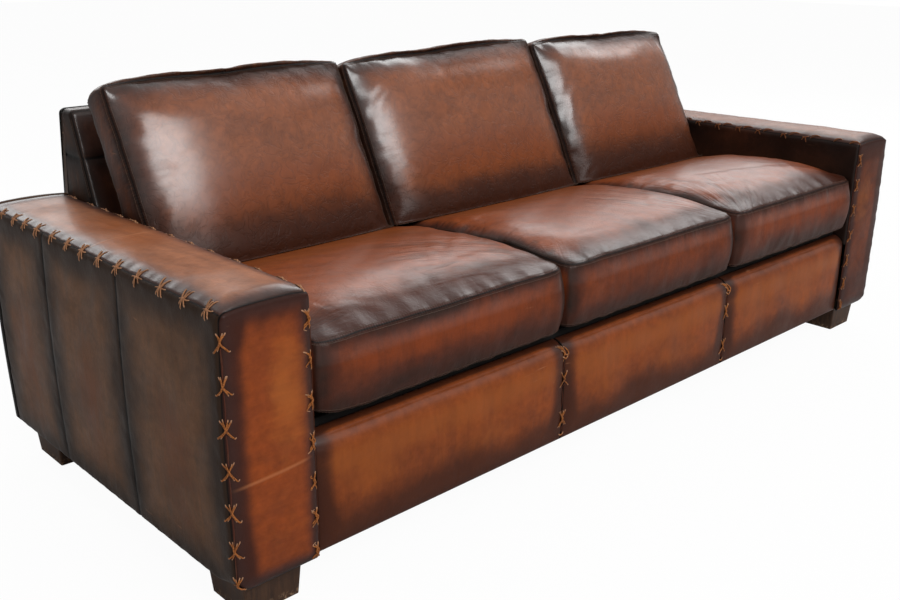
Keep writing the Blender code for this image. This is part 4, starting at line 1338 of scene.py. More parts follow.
def limit_back(points, low, high):
    """Keeps a back cushion above the seats and in front of the back frame."""
    points[:, 2] = soft_limit(points[:, 2], contact_height(points[:, 1]) + CLEAR, False, 0.008)
    points[:, 1] = soft_limit(points[:, 1], wedge_front(points[:, 2]) - 0.002, True, 0.006)

def finish_cushions(kind, forms, wrinkles, seed, limit, fill):
    """Fills the three cushions, creases each, keeps it clear of its neighbours and stitches it."""
    fill_cushions(forms)
    for index, (label, (piece, _, shell)) in enumerate(zip(SEATS, forms)):
        crease_cushion(piece, shell, seed + index, wrinkles[index])
        points = points_of(piece.data)
        low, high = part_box(f"{kind}_cushion_{label}")
        points[:, 0] = soft_limit(points[:, 0], low[0], False, 0.004)
        points[:, 0] = soft_limit(points[:, 0], high[0], True, 0.004)
        limit(points, low, high)
        set_points(piece.data, points)
        stitch_cushion(piece, shell, f"{kind}_cushion_topstitching_{label}")
        settle(piece, f"{kind}_cushion_{label}", fill=fill)

def make_seats():
    settings = bpy.context.scene.sofa_cushions
    forms = []
    for index, label in enumerate(SEATS):
        low, high = (np.array(corner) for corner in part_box(f"seat_cushion_{label}"))
        flat_low = np.array([low[0] + 0.004, low[1] + 0.016, low[2] + 0.011])
        flat_high = np.array([high[0] - 0.004, high[1] - 0.004, 0.513])
        shell, points = boxed_cushion(flat_low, flat_high, 0.032, settings.cell)
        seam, along, distance = seam_values(shell)
        u = (shell.flat[:, 0] - (flat_low[0] + flat_high[0]) / 2) / ((flat_high[0] - flat_low[0]) / 2)
        depth = shell.flat[:, 1] - FRONT
        top = (shell.flat[:, 2] - flat_low[2]) / (flat_high[2] - flat_low[2])
        # the seams rise a little behind the front and fall towards the back
        line = 0.012 * np.sin(np.clip(depth / 0.36, 0, 1) * math.pi) - 0.034 * ease(depth, 0.36, 0.7)
        points[:, 2] += line * top
        on_top = shell.flat[:, 2] > flat_high[2] - 1e-6
        on_bottom = shell.flat[:, 2] < flat_low[2] + 1e-6
        crown_x = 1 - np.abs(u) ** 5
        d0, d1 = flat_low[1] - FRONT, flat_high[1] - FRONT
        v = np.clip((depth - d0) / (d1 - d0), 0, 1)
        crown_y = (1 - np.abs(2 * v - 1) ** 2.6)
        near = 1 - np.exp(-distance / 0.03)
        points[:, 2] += np.where(on_top, (0.01 * near + 0.026 * crown_x * crown_y), 0.0)
        points[:, 2] -= np.where(on_bottom, 0.009 * near, 0.0)
        corner = fall(shell.flat[:, 0] - flat_low[0], 0.0, 0.09) * fall(depth, 0.1, 0.22)
        points[:, 2] += (1 - top) * corner * (0.013 if index == 0 else 0.003)
        # boxing swells between its seams
        belly = np.sin(math.pi * np.clip(top, 0, 1)) ** 0.8
        front_side = shell.gaps[:, 1] < 1e-6
        is_front = front_side & (shell.flat[:, 1] < 0)
        is_side = shell.gaps[:, 0] < 1e-6
        points[:, 1] -= np.where(is_front, 0.013 * belly, 0.0)
        points[:, 0] += np.where(is_side, np.sign(u) * 0.01 * belly, 0.0)
        piece = make_piece(
            f"seat_cushion_leather_{label}",
            points,
            shell.faces,
            {"seam": seam, "along": along, **seat_marks(index, shell, seam)},
            "saddle leather, seat tops",
        )
        two_leathers(piece, shell, "saddle leather, seat tops", "saddle leather, seat fronts")
        held = np.where(on_bottom & (distance > 0.03), 1.0, 0.0)
        held = np.maximum(held, np.where(depth > 0.68, 0.6, 0.0))
        hold_groups(piece, shell, held)
        forms.append((piece, points.copy(), shell))
    finish_cushions("seat", forms, SEAT_WRINKLES, 20, limit_seat, 0.85)


# long soft creases of each seat: start and end in (across, back) shares of its top, height, width
SEAT_WRINKLES = (
    (
        ((0.55, 0.04), (0.97, 0.4), 0.0035, 0.016),
        ((0.62, 0.16), (0.98, 0.58), 0.003, 0.018),
        ((0.36, 0.05), (0.86, 0.16), 0.003, 0.014),
        ((0.06, 0.1), (0.3, 0.03), 0.003, 0.012),
        ((0.04, 0.2), (0.12, 0.04), 0.0028, 0.01),
        ((0.7, 0.62), (0.97, 0.8), 0.0028, 0.016),
        ((0.1, 0.55), (0.34, 0.78), 0.0022, 0.02),
    ),
    (
        ((0.6, 0.05), (0.97, 0.36), 0.0032, 0.016),
        ((0.03, 0.25), (0.14, 0.62), 0.003, 0.013),
        ((0.1, 0.1), (0.46, 0.06), 0.0026, 0.013),
        ((0.7, 0.3), (0.96, 0.66), 0.0028, 0.018),
        ((0.06, 0.78), (0.3, 0.62), 0.0026, 0.015),
    ),
    (
        ((0.08, 0.2), (0.7, 0.07), 0.0032, 0.015),
        ((0.2, 0.3), (0.86, 0.14), 0.0028, 0.016),
        ((0.03, 0.4), (0.2, 0.14), 0.003, 0.013),
        ((0.72, 0.1), (0.96, 0.34), 0.0028, 0.014),
        ((0.1, 0.7), (0.4, 0.56), 0.0024, 0.018),
    ),
)


def crease_cushion(piece, shell, seed, wrinkles):
    """Divides the settled form, sinks its seams and lays creases and puckers into the leather."""
    mesh = piece.data
    points = points_of(mesh)
    normals = normals_of(mesh)
    for ring in seam_rings(shell):
        ring = np.array(ring)
        points[ring] -= normals[ring] * 0.0022
    set_points(mesh, points)
    coarse = (shell.flat - shell.low) / (shell.high - shell.low)
    for key, column in (("share_u", 0), ("share_v", 1), ("share_w", 2)):
        layer = mesh.attributes.new(key, "FLOAT", "POINT")
        layer.data.foreach_set("value", coarse[:, column].astype(np.float32))
    divide(piece)
    mesh = piece.data
    points = points_of(mesh)
    normals = normals_of(mesh)
    seam = values_of(mesh, "seam")
    along = values_of(mesh, "along")
    size = shell.high - shell.low
    u = values_of(mesh, "share_u")
    v = values_of(mesh, "share_v")
    w = values_of(mesh, "share_w")
    on_face = ease(w, 0.98, 0.999)
    height = 0.0011 * wave(along, (0.019, 0.031, 0.047, 0.083), seed) * np.exp(-seam / 0.016)
    height += 0.0012 * wave(along, (0.11, 0.067), seed + 1) * np.exp(-seam / 0.045)
    for number, (start, end, rise, width) in enumerate(wrinkles):
        start = np.array(start) * size[:2]
        end = np.array(end) * size[:2]
        way = end - start
        length = np.linalg.norm(way)
        way = way / length
        rel_x = u * size[0] - start[0]
        rel_y = v * size[1] - start[1]
        run = rel_x * way[0] + rel_y * way[1]
        off = -rel_x * way[1] + rel_y * way[0]
        bow = 0.018 * np.sin(math.pi * np.clip(run / length, 0, 1)) + 0.004 * wave(run, (0.07, 0.13), seed + number)
        off = off - bow
        ends = ease(run, -0.01, 0.05) * fall(run, length - 0.06, length + 0.01)
        ridge = np.exp(-((off / width) ** 2)) - 0.8 * np.exp(-(((off - 1.5 * width) / (0.75 * width)) ** 2))
        height += 0.28 * rise * ridge * ends * on_face
    edge = ease(seam, 0.0, 0.004)
    points += normals * (height * (0.35 + 0.65 * edge))[:, None]
    set_points(mesh, points)


def stitch_cushion(piece, shell, name):
    """Two rows of topstitching beside each seam of a cushion."""
    points = points_of(piece.data)
    top = shell.counts[2]
    rows = (shell.ring(2, top, 1), shell.ring(2, top - 1), shell.ring(2, 0, 1), shell.ring(2, 1))
    sew(name, surface_tree(piece), [(points[np.array(row)], True) for row in rows])

def resample(points, spacing, closed):
    """Points an even distance apart along a smooth line through the given ones."""
    points = np.asarray(points)
    if closed:
        points = np.vstack([points, points[:1]])
    steps = np.linalg.norm(np.diff(points, axis=0), axis=1)
    run = np.concatenate([[0.0], np.cumsum(steps)])
    count = max(2, int(round(run[-1] / spacing)))
    where = np.linspace(0.0, run[-1], count + 1)
    found = np.stack([np.interp(where, run, points[:, i]) for i in range(3)], axis=1)
    return found[:-1] if closed else found


THREAD = 0.00045  # half the thickness of the thread


def sew(name, tree, lines, sides=4, per_stitch=4):
    """Threads that lie on a surface and dip into it once a stitch."""
    stitch = bpy.context.scene.sofa_cushions.stitch
    verts = []
    faces = []
    for line, closed in lines:
        path = resample(line, stitch / per_stitch, closed)
        if closed:
            whole = (len(path) // per_stitch) * per_stitch
            path = resample(line, stitch / per_stitch * len(path) / whole, closed)[:whole]
        on = []
        ups = []
        for point in path:
            near, normal, _, _ = tree.find_nearest(Vector(point))
            on.append(near)
            ups.append(normal)
        on = np.array(on)
        ups = np.array(ups)
        phase = np.arange(len(on)) * (2 * math.pi / per_stitch)
        lift = 0.00035 + 0.00075 * np.cos(phase)
        on = on + ups * lift[:, None]
        ahead = np.roll(on, -1, 0) - np.roll(on, 1, 0)
        if not closed:
            ahead[0] = on[1] - on[0]
            ahead[-1] = on[-1] - on[-2]
        ahead /= np.linalg.norm(ahead, axis=1)[:, None]
        across = np.cross(ahead, ups)
        across /= np.maximum(np.linalg.norm(across, axis=1)[:, None], 1e-9)
        up = np.cross(across, ahead)
        start = len(verts)
        for side in range(sides):
            angle = 2 * math.pi * side / sides
            verts += list(map(tuple, on + THREAD * (math.cos(angle) * across + math.sin(angle) * up)))
        count = len(on)
        for side in range(sides):
            a = start + side * count
            b = start + (side + 1) % sides * count
            for step in range(count if closed else count - 1):
                after = (step + 1) % count
                faces.append((a + step, a + after, b + after, b + step))
        if not closed:
            faces.append(tuple(start + side * count for side in range(sides)))
            faces.append(tuple(start + side * count + count - 1 for side in reversed(range(sides))))
    piece = make_piece(name, np.array(verts), faces, {}, "sewing thread")
    outward(piece)
    settle(piece, slot="topstitch_thread")


def outward(piece):
    """Turns all the faces of a closed piece outwards."""
    bm = bmesh.new()
    bm.from_mesh(piece.data)
    bmesh.ops.recalc_face_normals(bm, faces=bm.faces)
    bm.to_mesh(piece.data)
    bm.free()


BACK_LEAN = math.atan(0.5)
BACK_HEIGHT = (0.449, 0.458, 0.456)
BACK_TILT = (0.004, 0.012, 0.0)
BACK_BOXING = 0.09
BACK_TUCK = 0.055


def make_backs():
    settings = bpy.context.scene.sofa_cushions
    forms = []
    for index, label in enumerate(SEATS):
        low, high = (np.array(corner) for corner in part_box(f"back_cushion_{label}"))
        height = BACK_HEIGHT[index]
        # the cushion is made lying on its face: X across, Y up the cushion, Z through it
        flat_low = np.array([low[0] + 0.003, -BACK_TUCK, -BACK_BOXING])
        flat_high = np.array([high[0] - 0.003, height, 0.0])
        shell, points = boxed_cushion(flat_low, flat_high, 0.014, settings.cell)
        seam, along, distance = seam_values(shell)
        middle = (flat_low[0] + flat_high[0]) / 2
        u = (shell.flat[:, 0] - middle) / ((flat_high[0] - flat_low[0]) / 2)
        rise = shell.flat[:, 1]
        v = np.clip((rise + BACK_TUCK) / (height + BACK_TUCK), 0, 1)
        front = shell.flat[:, 2] > -1e-6
        rear = shell.flat[:, 2] < -BACK_BOXING + 1e-6
        through = (shell.flat[:, 2] + BACK_BOXING) / BACK_BOXING
        near = 1 - np.exp(-distance / 0.035)
        crown = (1 - np.abs(u) ** 2.6) * (1 - np.abs(2 * v - 0.9) ** 6 * 0.92)
        points[:, 2] += np.where(front, 0.014 * near + 0.044 * crown, 0.0)
        points[:, 2] -= np.where(rear, 0.012 * near + 0.036 * crown, 0.0)
        belly = np.sin(math.pi * through) ** 0.8
        top_side = (shell.gaps[:, 1] < 1e-6) & (rise > 0)
        is_side = shell.gaps[:, 0] < 1e-6
        points[:, 1] += np.where(top_side, 0.017 * belly * (1 - 0.6 * np.abs(u) ** 8), 0.0)
        points[:, 0] += np.where(is_side, np.sign(u) * 0.008 * belly, 0.0)
        # one end stands higher, and the top edge rises softly between the corners
        tilt = BACK_TILT[index] / (high[0] - low[0]) * 2
        points[:, 1] += np.clip(v, 0, 1) * (tilt * (points[:, 0] - middle) + 0.006 * (1 - u**2))
        leaned = np.empty_like(points)
        sine, cosine = math.sin(BACK_LEAN), math.cos(BACK_LEAN)
        leaned[:, 0] = points[:, 0]
        leaned[:, 1] = CONTACT_POINT[0] + sine * points[:, 1] - cosine * points[:, 2]
        leaned[:, 2] = CONTACT_POINT[1] + cosine * points[:, 1] + sine * points[:, 2]
        piece = make_piece(
            f"back_cushion_leather_{label}",
            leaned,
            shell.faces,
            {"seam": seam, "along": along, **back_marks(index, shell, seam, distance)},
            "saddle leather, back fronts",
        )
        two_leathers(piece, shell, "saddle leather, back fronts", "saddle leather, back edges")
        held = np.where(rear & (distance > 0.05), 1.0, 0.0)
        held = np.maximum(held, np.where(rise < 0.0, 0.6, 0.0))
        hold_groups(piece, shell, held)
        forms.append((piece, leaned.copy(), shell))
    finish_cushions("back", forms, BACK_WRINKLES, 50, limit_back, 0.8)


# creases of each back cushion: start and end in (across, up) shares of its front, height, width
BACK_WRINKLES = (
    (
        ((0.8, 0.3), (0.97, 0.7), 0.0028, 0.015),
        ((0.62, 0.97), (0.74, 0.8), 0.0026, 0.012),
    ),
    (
        ((0.03, 0.62), (0.2, 0.84), 0.0028, 0.014),
        ((0.04, 0.3), (0.22, 0.22), 0.0024, 0.01),
        ((0.05, 0.38), (0.18, 0.33), 0.0022, 0.009),
        ((0.82, 0.25), (0.96, 0.6), 0.0026, 0.016),
        ((0.3, 0.97), (0.38, 0.82), 0.0024, 0.012),
    ),
    (
        ((0.03, 0.3), (0.16, 0.72), 0.003, 0.016),
        ((0.52, 0.97), (0.56, 0.84), 0.0028, 0.01),
        ((0.62, 0.98), (0.68, 0.82), 0.003, 0.01),
        ((0.74, 0.98), (0.8, 0.8), 0.003, 0.01),
        ((0.84, 0.97), (0.9, 0.84), 0.0028, 0.01),
        ((0.7, 0.3), (0.94, 0.5), 0.0024, 0.018),
    ),
)


# ---------------------------------------------------------------- back frame leather


WEDGE_FRONT = (FRONT + 0.848, 0.618)
WEDGE_LEAN = 0.345
WEDGE_TOP = 0.827
WEDGE_FOOT = 0.36
BACK_BEND = 0.642
BACK_REAR_LEAN = 0.1


def wedge_front(z):
    return WEDGE_FRONT[0] + WEDGE_LEAN * (z - WEDGE_FRONT[1])


def wedge_rear(z):
    return REAR - BACK_REAR_LEAN * np.maximum(0.0, z - BACK_BEND)


def wedge_form(points):
    """Takes points of the back's flat box, where Y runs from 0 at its front to 0.2 at its rear, to the wedge."""
    low = np.array([-INNER, 0.0, WEDGE_FOOT - 0.1])
    high = np.array([INNER, 0.3, WEDGE_TOP])
    form = rounded(points, low, high, 0.012)
    front = wedge_front(form[:, 2])
    form[:, 1] = front + form[:, 1]
    form[:, 1] = np.minimum(form[:, 1], wedge_rear(form[:, 2]) - 0.0003)
    return form


def wedge_panel(name, low, high, axis, sign, sides, cell, node_name, side=-1, part="back frame", seams=()):
    """One leather of the back frame, turned over for the right side."""
    shell, _, form, distance, _, _ = panel_form(wedge_form, low, high, axis, sign, sides, cell, seams)
    piece = make_piece(name, mirrored(form, side), mirrored_faces(shell.faces, side),
                       {"edge_distance": distance}, f"burnished leather, {part}")
    settle(piece, node_name, slot="burnished_leather", fill=0.95)

def make_back_leather():
    seams = ((2, 0.719),)
    top = WEDGE_TOP - HAIR
    wedge_panel("inside_back_leather", (-INNER + HAIR, 0.0, WEDGE_FOOT), (INNER - HAIR, PAD, top), 1, -1,
                ((0, -1), (0, 1), (2, 1)), 0.014, "inside_back_panel", seams=seams)
    wedge_panel("back_top_leather", (-INNER + HAIR, HAIR, WEDGE_TOP - PAD), (INNER - HAIR, 0.0905, WEDGE_TOP), 2, 1,
                ((0, -1), (0, 1), (1, -1)), 0.012, "back_top_panel")
    for label, side in SIDES:
        wedge_panel(f"back_end_leather_{label}", (-INNER, HAIR, WEDGE_FOOT), (-INNER + PAD, 0.2, top), 0, -1,
                    ((1, -1), (2, 1)), 0.012, f"back_end_panel_{label}", side, "back ends", seams)
    make_outside_back()

def make_outside_back():
    low, high = (np.array(corner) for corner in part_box("outside_back_panel"))
    depth_low = REAR + 0.0004
    depth_high = float(high[1])
    step = INNER
    seams = (-0.36, 0.36)
    marks = [-step - 0.0006, -step + 0.0006, step - 0.0006, step + 0.0006]
    xs = [stops(-HALF, marks[0], 0.016, FINE), stops(marks[1], marks[2], 0.016, FINE, seams),
          stops(marks[3], HALF, 0.016, FINE)]
    xs = np.concatenate(xs)
    ys = np.array([depth_low, (depth_low + depth_high) / 2, depth_high])
    zs = stops(HEM, WEDGE_TOP, 0.016, FINE, (BACK_BEND,))
    shell = Shell(xs, ys, zs)
    flat = shell.flat
    share = (flat[:, 2] - HEM) / (WEDGE_TOP - HEM)
    raised = np.abs(flat[:, 0]) < step
    arm_across = (np.abs(flat[:, 0]) - (HALF + INNER) / 2) / ((HALF - INNER) / 2)
    arm_top = ARM_EDGE_HEIGHT + ARM_CROWN[1] * np.maximum(0.0, 1 - arm_across**2)
    top = np.where(raised, WEDGE_TOP, arm_top)
    z = HEM + share * (top - HEM)
    points = flat.copy()
    points[:, 2] = z
    outer = np.where(flat[:, 0] < 0, -1.0, 1.0)
    for sign in (-1, 1):
        mask = flat[:, 0] * sign > 0
        for chosen, x_edge, z_edge, radius in (
            (mask & ~raised, HALF, (ARM_EDGE_HEIGHT, True), 0.012),
            (mask, HALF, (HEM, False), 0.012),
            (mask & raised, step, (WEDGE_TOP, True), 0.014),
        ):
            x, zz = round_corner(points[:, 0], points[:, 2], (sign * x_edge, sign > 0), z_edge, radius)
            points[:, 0] = np.where(chosen, x, points[:, 0])
            points[:, 2] = np.where(chosen, zz, points[:, 2])
    side_puff = ARM_PUFF * np.sin(math.pi * np.clip((points[:, 2] - HEM) / (ARM_EDGE_HEIGHT - HEM), 0, 1))
    points[:, 0] += outer * side_puff * ease(np.abs(flat[:, 0]), step, HALF)
    edge = np.minimum(np.minimum(top - z, z - HEM), np.where(raised, 10.0, HALF - np.abs(flat[:, 0])))
    edge = np.where(raised & (z > ARM_EDGE_HEIGHT), np.minimum(edge, step - np.abs(flat[:, 0])), edge)
    is_rear = flat[:, 1] > depth_high - 1e-6
    roll = 0.008 * (1 - np.sqrt(np.clip(1 - (1 - np.clip(edge / 0.008, 0, 1)) ** 2, 0, 1)))
    points[:, 1] -= np.where(is_rear, roll, 0.0)
    for place in seams:
        press = 0.0016 * np.exp(-(((flat[:, 0] - place) / 0.005) ** 2))
        points[:, 1] -= np.where(is_rear, press, 0.0)
        edge = np.minimum(edge, np.abs(flat[:, 0] - place))
    points[:, 1] -= np.where(
        np.abs(points[:, 0]) < step + 0.0003, BACK_REAR_LEAN * np.maximum(0.0, points[:, 2] - BACK_BEND), 0.0
    )
    piece = make_piece(
        "outside_back_leather", points, shell.faces,
        {"edge_distance": np.where(is_rear, np.maximum(edge, 0), np.where(~raised & (share > 1 - 1e-6), 0.05, 0.0))},
        "burnished leather, arm sides",
    )
    settle(piece, "outside_back_panel", slot="burnished_leather", fill=1.0)


# ---------------------------------------------------------------- lacing


def strap(path, ups, width, thickness, sides=6):
    """A flat lace swept along a path; ups point away from the leather. Returns points, faces and tip values."""
    path = np.array(path)
    ups = np.array(ups)
    ahead = np.gradient(path, axis=0)
    ahead /= np.maximum(np.linalg.norm(ahead, axis=1)[:, None], 1e-9)
    across = np.cross(ahead, ups)
    across /= np.maximum(np.linalg.norm(across, axis=1)[:, None], 1e-9)
    up = np.cross(across, ahead)
    count = len(path)
    taper = 0.62 + 0.38 * np.sin(np.linspace(0, math.pi, count))
    points = []
    for side in range(sides):
        angle = 2 * math.pi * (side + 0.5) / sides
        c, s = math.cos(angle), math.sin(angle)
        wide = math.copysign(abs(c) ** 0.7, c) * width / 2 * taper
        tall = math.copysign(abs(s) ** 0.8, s) * thickness / 2
        points.append(path + across * wide[:, None] + up * tall)
    points = np.concatenate(points)
    faces = []
    for side in range(sides):
        a = side * count
        b = (side + 1) % sides * count
        for step in range(count - 1):
            faces.append((a + step, a + step + 1, b + step + 1, b + step))
    faces.append(tuple(side * count for side in range(sides)))
    faces.append(tuple(side * count + count - 1 for side in reversed(range(sides))))
    run = np.linspace(0, 1, count)
    length = float(np.linalg.norm(np.diff(path, axis=0), axis=1).sum())
    tip = 1 - ease(np.minimum(run, 1 - run) * length, 0.003, 0.008)
    return points, faces, np.tile(tip, sides)


class Ridge:
    """A laced edge: a line through corner along way, with one leather running off along first, one along second."""

    def __init__(self, corner, way, first, second):
        self.corner = np.array(corner, dtype=float)
        self.way = np.array(way, dtype=float)
        self.first = np.array(first, dtype=float)
        self.second = np.array(second, dtype=float)

    def point(self, across, along):
        """A place beside the edge: across > 0 lies on the first leather, across < 0 on the second."""
        side = self.first * across if across >= 0 else self.second * -across
        return self.corner + self.way * along + side

    def out(self, point):
        """The way out of the leather at a point."""
        rel = point - self.corner
        a = max(float(rel @ self.first), 0.0)
        b = max(float(rel @ self.second), 0.0)
        if abs(float(self.first @ self.second)) > 0.9:
            return np.array([0.0, -1.0, 0.25]) / math.hypot(1.0, 0.25)
        t = float(ease(a - b, -0.012, 0.012))
        way = -self.second * t - self.first * (1 - t)
        return way / np.linalg.norm(way)


def curve_through(points, spacing=0.0022):
    """A smooth line through a few points."""
    points = np.array(points, dtype=float)
    padded = np.vstack([2 * points[0] - points[1], points, 2 * points[-1] - points[-2]])
    line = []
    for i in range(1, len(padded) - 2):
        p0, p1, p2, p3 = padded[i - 1 : i + 3]
        steps = max(2, int(np.linalg.norm(p2 - p1) / spacing))
        for step in range(steps):
            t = step / steps
            line.append(
                0.5 * (2 * p1 + (p2 - p0) * t + (2 * p0 - 5 * p1 + 4 * p2 - p3) * t**2 + (3 * p1 - p0 - 3 * p2 + p3) * t**3)
            )
    line.append(points[-1])
    return np.array(line)


class Lacing:
    """Collects laces laid on a surface and makes them one piece."""

    def __init__(self, tree, seed, pale=0.0, shade=0.0):
        self.tree = tree
        # pale lifts whole laces towards the colour of their ends as a painted sheen; shade darkens them as painted
        # shade
        self.pale = pale
        self.shade = shade
        self.turn = random.Random(seed)
        self.points = []
        self.faces = []
        self.tips_and_sheen = []
        self.lace_shade = []
        self.count = 0

    def jig(self, amount):
        return self.turn.uniform(-amount, amount)

    def lay(self, ridge, guide, lift=0.0, width=None, drop=0.003, lace_shade=0.0):
        """Lays one lace over the leather along guide points; lift raises its middle."""
        settings = bpy.context.scene.sofa_lacing
        width = width or settings.width
        line = curve_through(guide)
        on = []
        ups = []
        for point in line:
            way = ridge.out(point)
            hit, normal, _, far = self.tree.ray_cast(Vector(point + way * 0.045), Vector(-way))
            if hit is None or far > 0.056 or far < 0.02:
                hit, normal, _, _ = self.tree.find_nearest(Vector(point + way * 0.012))
            on.append(hit)
            ups.append(normal if normal.dot(Vector(way)) > 0.2 else Vector(way))
        on = np.array(on)
        ups = np.array(ups)
        for _ in range(3):
            ups[1:-1] = (ups[:-2] + 2 * ups[1:-1] + ups[2:]) / 4
        for _ in range(2):
            on[1:-1] = (on[:-2] + 2 * on[1:-1] + on[2:]) / 4
        ups /= np.linalg.norm(ups, axis=1)[:, None]
        run = np.linspace(0, 1, len(on))
        steps = np.linalg.norm(np.diff(on, axis=0), axis=1)
        length = float(steps.sum())
        ends = np.minimum(run, 1 - run) * length
        rise = settings.thickness * 0.5 + lift * np.exp(-(((run - 0.5) * length / 0.009) ** 2))
        rise = rise - drop * fall(ends, 0.0, 0.004)
        on = on + ups * rise[:, None]
        points, faces, tip = strap(on, ups, width * self.turn.uniform(0.8, 1.2), settings.thickness)
        self.faces += [tuple(index + self.count for index in face) for face in faces]
        self.points.append(points)
        self.tips_and_sheen.append(np.maximum(tip, self.pale))
        self.lace_shade.append(np.full(len(points), max(lace_shade, self.shade)))
        self.count += len(points)

    def cross(self, ridge, half, first, second, hook=0.004, extra=0.8, bridge=0.0):
        """A cross of thin laces over the edge, some doubled, with its lower ends hooked outwards."""
        jig = self.jig
        settings = bpy.context.scene.sofa_lacing
        step = settings.thickness
        knot = ridge.point(0.0, 0.1 * half + jig(0.002))
        for turned in (False, True):
            reach_up, reach_low = (-second, first) if turned else (first, -second)
            high = ridge.point(reach_up * 0.72 + jig(0.002), half + jig(0.002))
            low = ridge.point(reach_low + jig(0.002), -half * 0.88 + jig(0.002))
            guide = [high, knot + ridge.way * jig(0.001), low]
            if hook:
                out = hook if reach_low > 0 else -hook
                guide.append(ridge.point(reach_low + out, -half * 0.88 + 0.003 + jig(0.001)))
            self.lay(ridge, guide, lift=bridge + step * (1.1 if turned else 0.1))
            if self.turn.random() < extra:
                high = ridge.point(reach_up * 0.4 + jig(0.001), half * 1.02 + jig(0.002))
                low = ridge.point(reach_low * 0.62 + jig(0.001), -half * 0.86 + jig(0.002))
                self.lay(ridge, [high, knot + ridge.way * jig(0.002), low], lift=bridge + step * (2.0 if turned else 1.5),
                         width=settings.width * 0.85)

    def run_between(self, ridge, high, low, across=0.0, bow=0.0008, wide=1.25):
        """The thin sunken lace that runs along the seam from one cross to the next, painted dark as shade in the seam.
        """
        guide = [ridge.point(across, high), ridge.point(across + bow, (high + low) / 2), ridge.point(across, low)]
        self.lay(ridge, guide, width=bpy.context.scene.sofa_lacing.width * wide * 0.7, drop=0.0022, lace_shade=1.0)

    def piece(self, name):
        values = {"tip": np.concatenate(self.tips_and_sheen), "lace_shade": np.concatenate(self.lace_shade)}
        made = make_piece(name, np.concatenate(self.points), self.faces, values, "rawhide lace")
        outward(made)
        settle(made, slot="rawhide_lacing")
        return made


UP = np.array([0.0, 0.0, 1.0])
BACKWARD = np.array([0.0, 1.0, 0.0])
FRONT_CROSSES = (0.569, 0.491, 0.411, 0.329, 0.248, 0.171, 0.096)
TOP_STARS = (0.039, 0.115, 0.196, 0.281, 0.363, 0.438, 0.51, 0.579, 0.652, 0.728, 0.792, 0.849, 0.915)
TOP_DASHES = (0.019, 0.074, 0.149, 0.222, 0.315, 0.39, 0.469, 0.547, 0.626, 0.694, 0.764, 0.833, 0.924)


def make_outer_lacing(label, side, tree, out):
    """The crosses down an arm's outer front edge and the stars along its outer top edge."""
    settings = bpy.context.scene.sofa_lacing
    front = Lacing(tree, settings.seed + side)
    for z in FRONT_CROSSES:
        front.cross(Ridge([side * (HALF - 0.002), FRONT, z], UP, -out, BACKWARD), 0.02, 0.014, 0.013)
    edge = Ridge([side * HALF, FRONT, 0.0], UP, -out, BACKWARD)
    for upper, lower in zip(FRONT_CROSSES, FRONT_CROSSES[1:]):
        front.run_between(edge, upper - 0.008, lower + 0.012, 0.002 + front.jig(0.0006))
    front.piece(f"arm_front_outer_lacing_{label}")

    # the stars lie on the arm top and carry a painted sheen
    stars = Lacing(tree, settings.seed + 20 + side, 0.55)
    for depth in TOP_STARS:
        star = Ridge([side * HALF, FRONT + depth, ARM_EDGE_HEIGHT], -BACKWARD, -out, -UP)
        jig = stars.jig
        for lift, (reach, ahead), (drop, behind) in (
            (0.2, (0.024, 0.01), (0.019, -0.009)),
            (1.1, (0.023, -0.01), (0.018, 0.01)),
            (0.7, (0.005, 0.018), (0.003, -0.018)),
            (1.9, (0.019, 0.001), (0.024, -0.001)),
        ):
            guide = [star.point(reach + jig(0.003), ahead + jig(0.003)), star.point(0.001, jig(0.002)),
                     star.point(-drop + jig(0.003), behind + jig(0.003))]
            stars.lay(star, guide, lift=settings.thickness * lift)
    stars.piece(f"arm_top_outer_lacing_{label}")


def make_lacing():
    settings = bpy.context.scene.sofa_lacing
    for label, side in SIDES:
        tree = surface_tree(
            *(bpy.data.objects[f"arm_{part}_leather_{label}"] for part in ("front", "top", "outer", "inner"))
        )
        out = np.array([float(side), 0.0, 0.0])

        if side < 0:
            make_outer_lacing(label, side, tree, out)

        # the right arm's laces are painted darker, as painted shade
        inner = Lacing(tree, settings.seed + 10 + side, shade=0.0 if side < 0 else 0.3)
        edge = Ridge([side * INNER, FRONT, 0.0], UP, out, BACKWARD)
        for z in FRONT_CROSSES:
            inner.cross(Ridge(edge.point(0.006, z), UP, -out, BACKWARD), 0.021, 0.012, 0.007, hook=0.0, extra=0.8)
        for upper, lower in zip(FRONT_CROSSES, FRONT_CROSSES[1:]):
            inner.run_between(edge, upper - 0.01, lower + 0.014, 0.003 + inner.jig(0.0006), wide=1.0)
        inner.piece(f"arm_front_inner_lacing_{label}")

        # the dashes on the arm top carry a painted sheen, and on the right arm painted shade too
        dashes = Lacing(tree, settings.seed + 30 + side, 0.55, 0.0 if side < 0 else 0.55)
        edge = Ridge([side * INNER, FRONT, ARM_EDGE_HEIGHT], BACKWARD, out, -UP)
        for depth in TOP_DASHES:
            half = 0.017 + dashes.jig(0.003)
            dashes.lay(edge, [edge.point(0.01, depth - half), edge.point(0.014, depth), edge.point(0.009, depth + half)],
                       lift=0.0006)
            dashes.lay(edge, [edge.point(0.014, depth - half * 0.7), edge.point(0.01, depth), edge.point(0.003, depth + half)],
                       lift=0.0022)
            if depth > 0.1:
                tuft = Ridge(edge.point(0.001, depth + 0.034), BACKWARD, out, -UP)
                dashes.cross(tuft, 0.011, 0.008, 0.018, hook=0.0, extra=0.3)
        dashes.piece(f"arm_top_inner_lacing_{label}")
    make_rail_lacing()


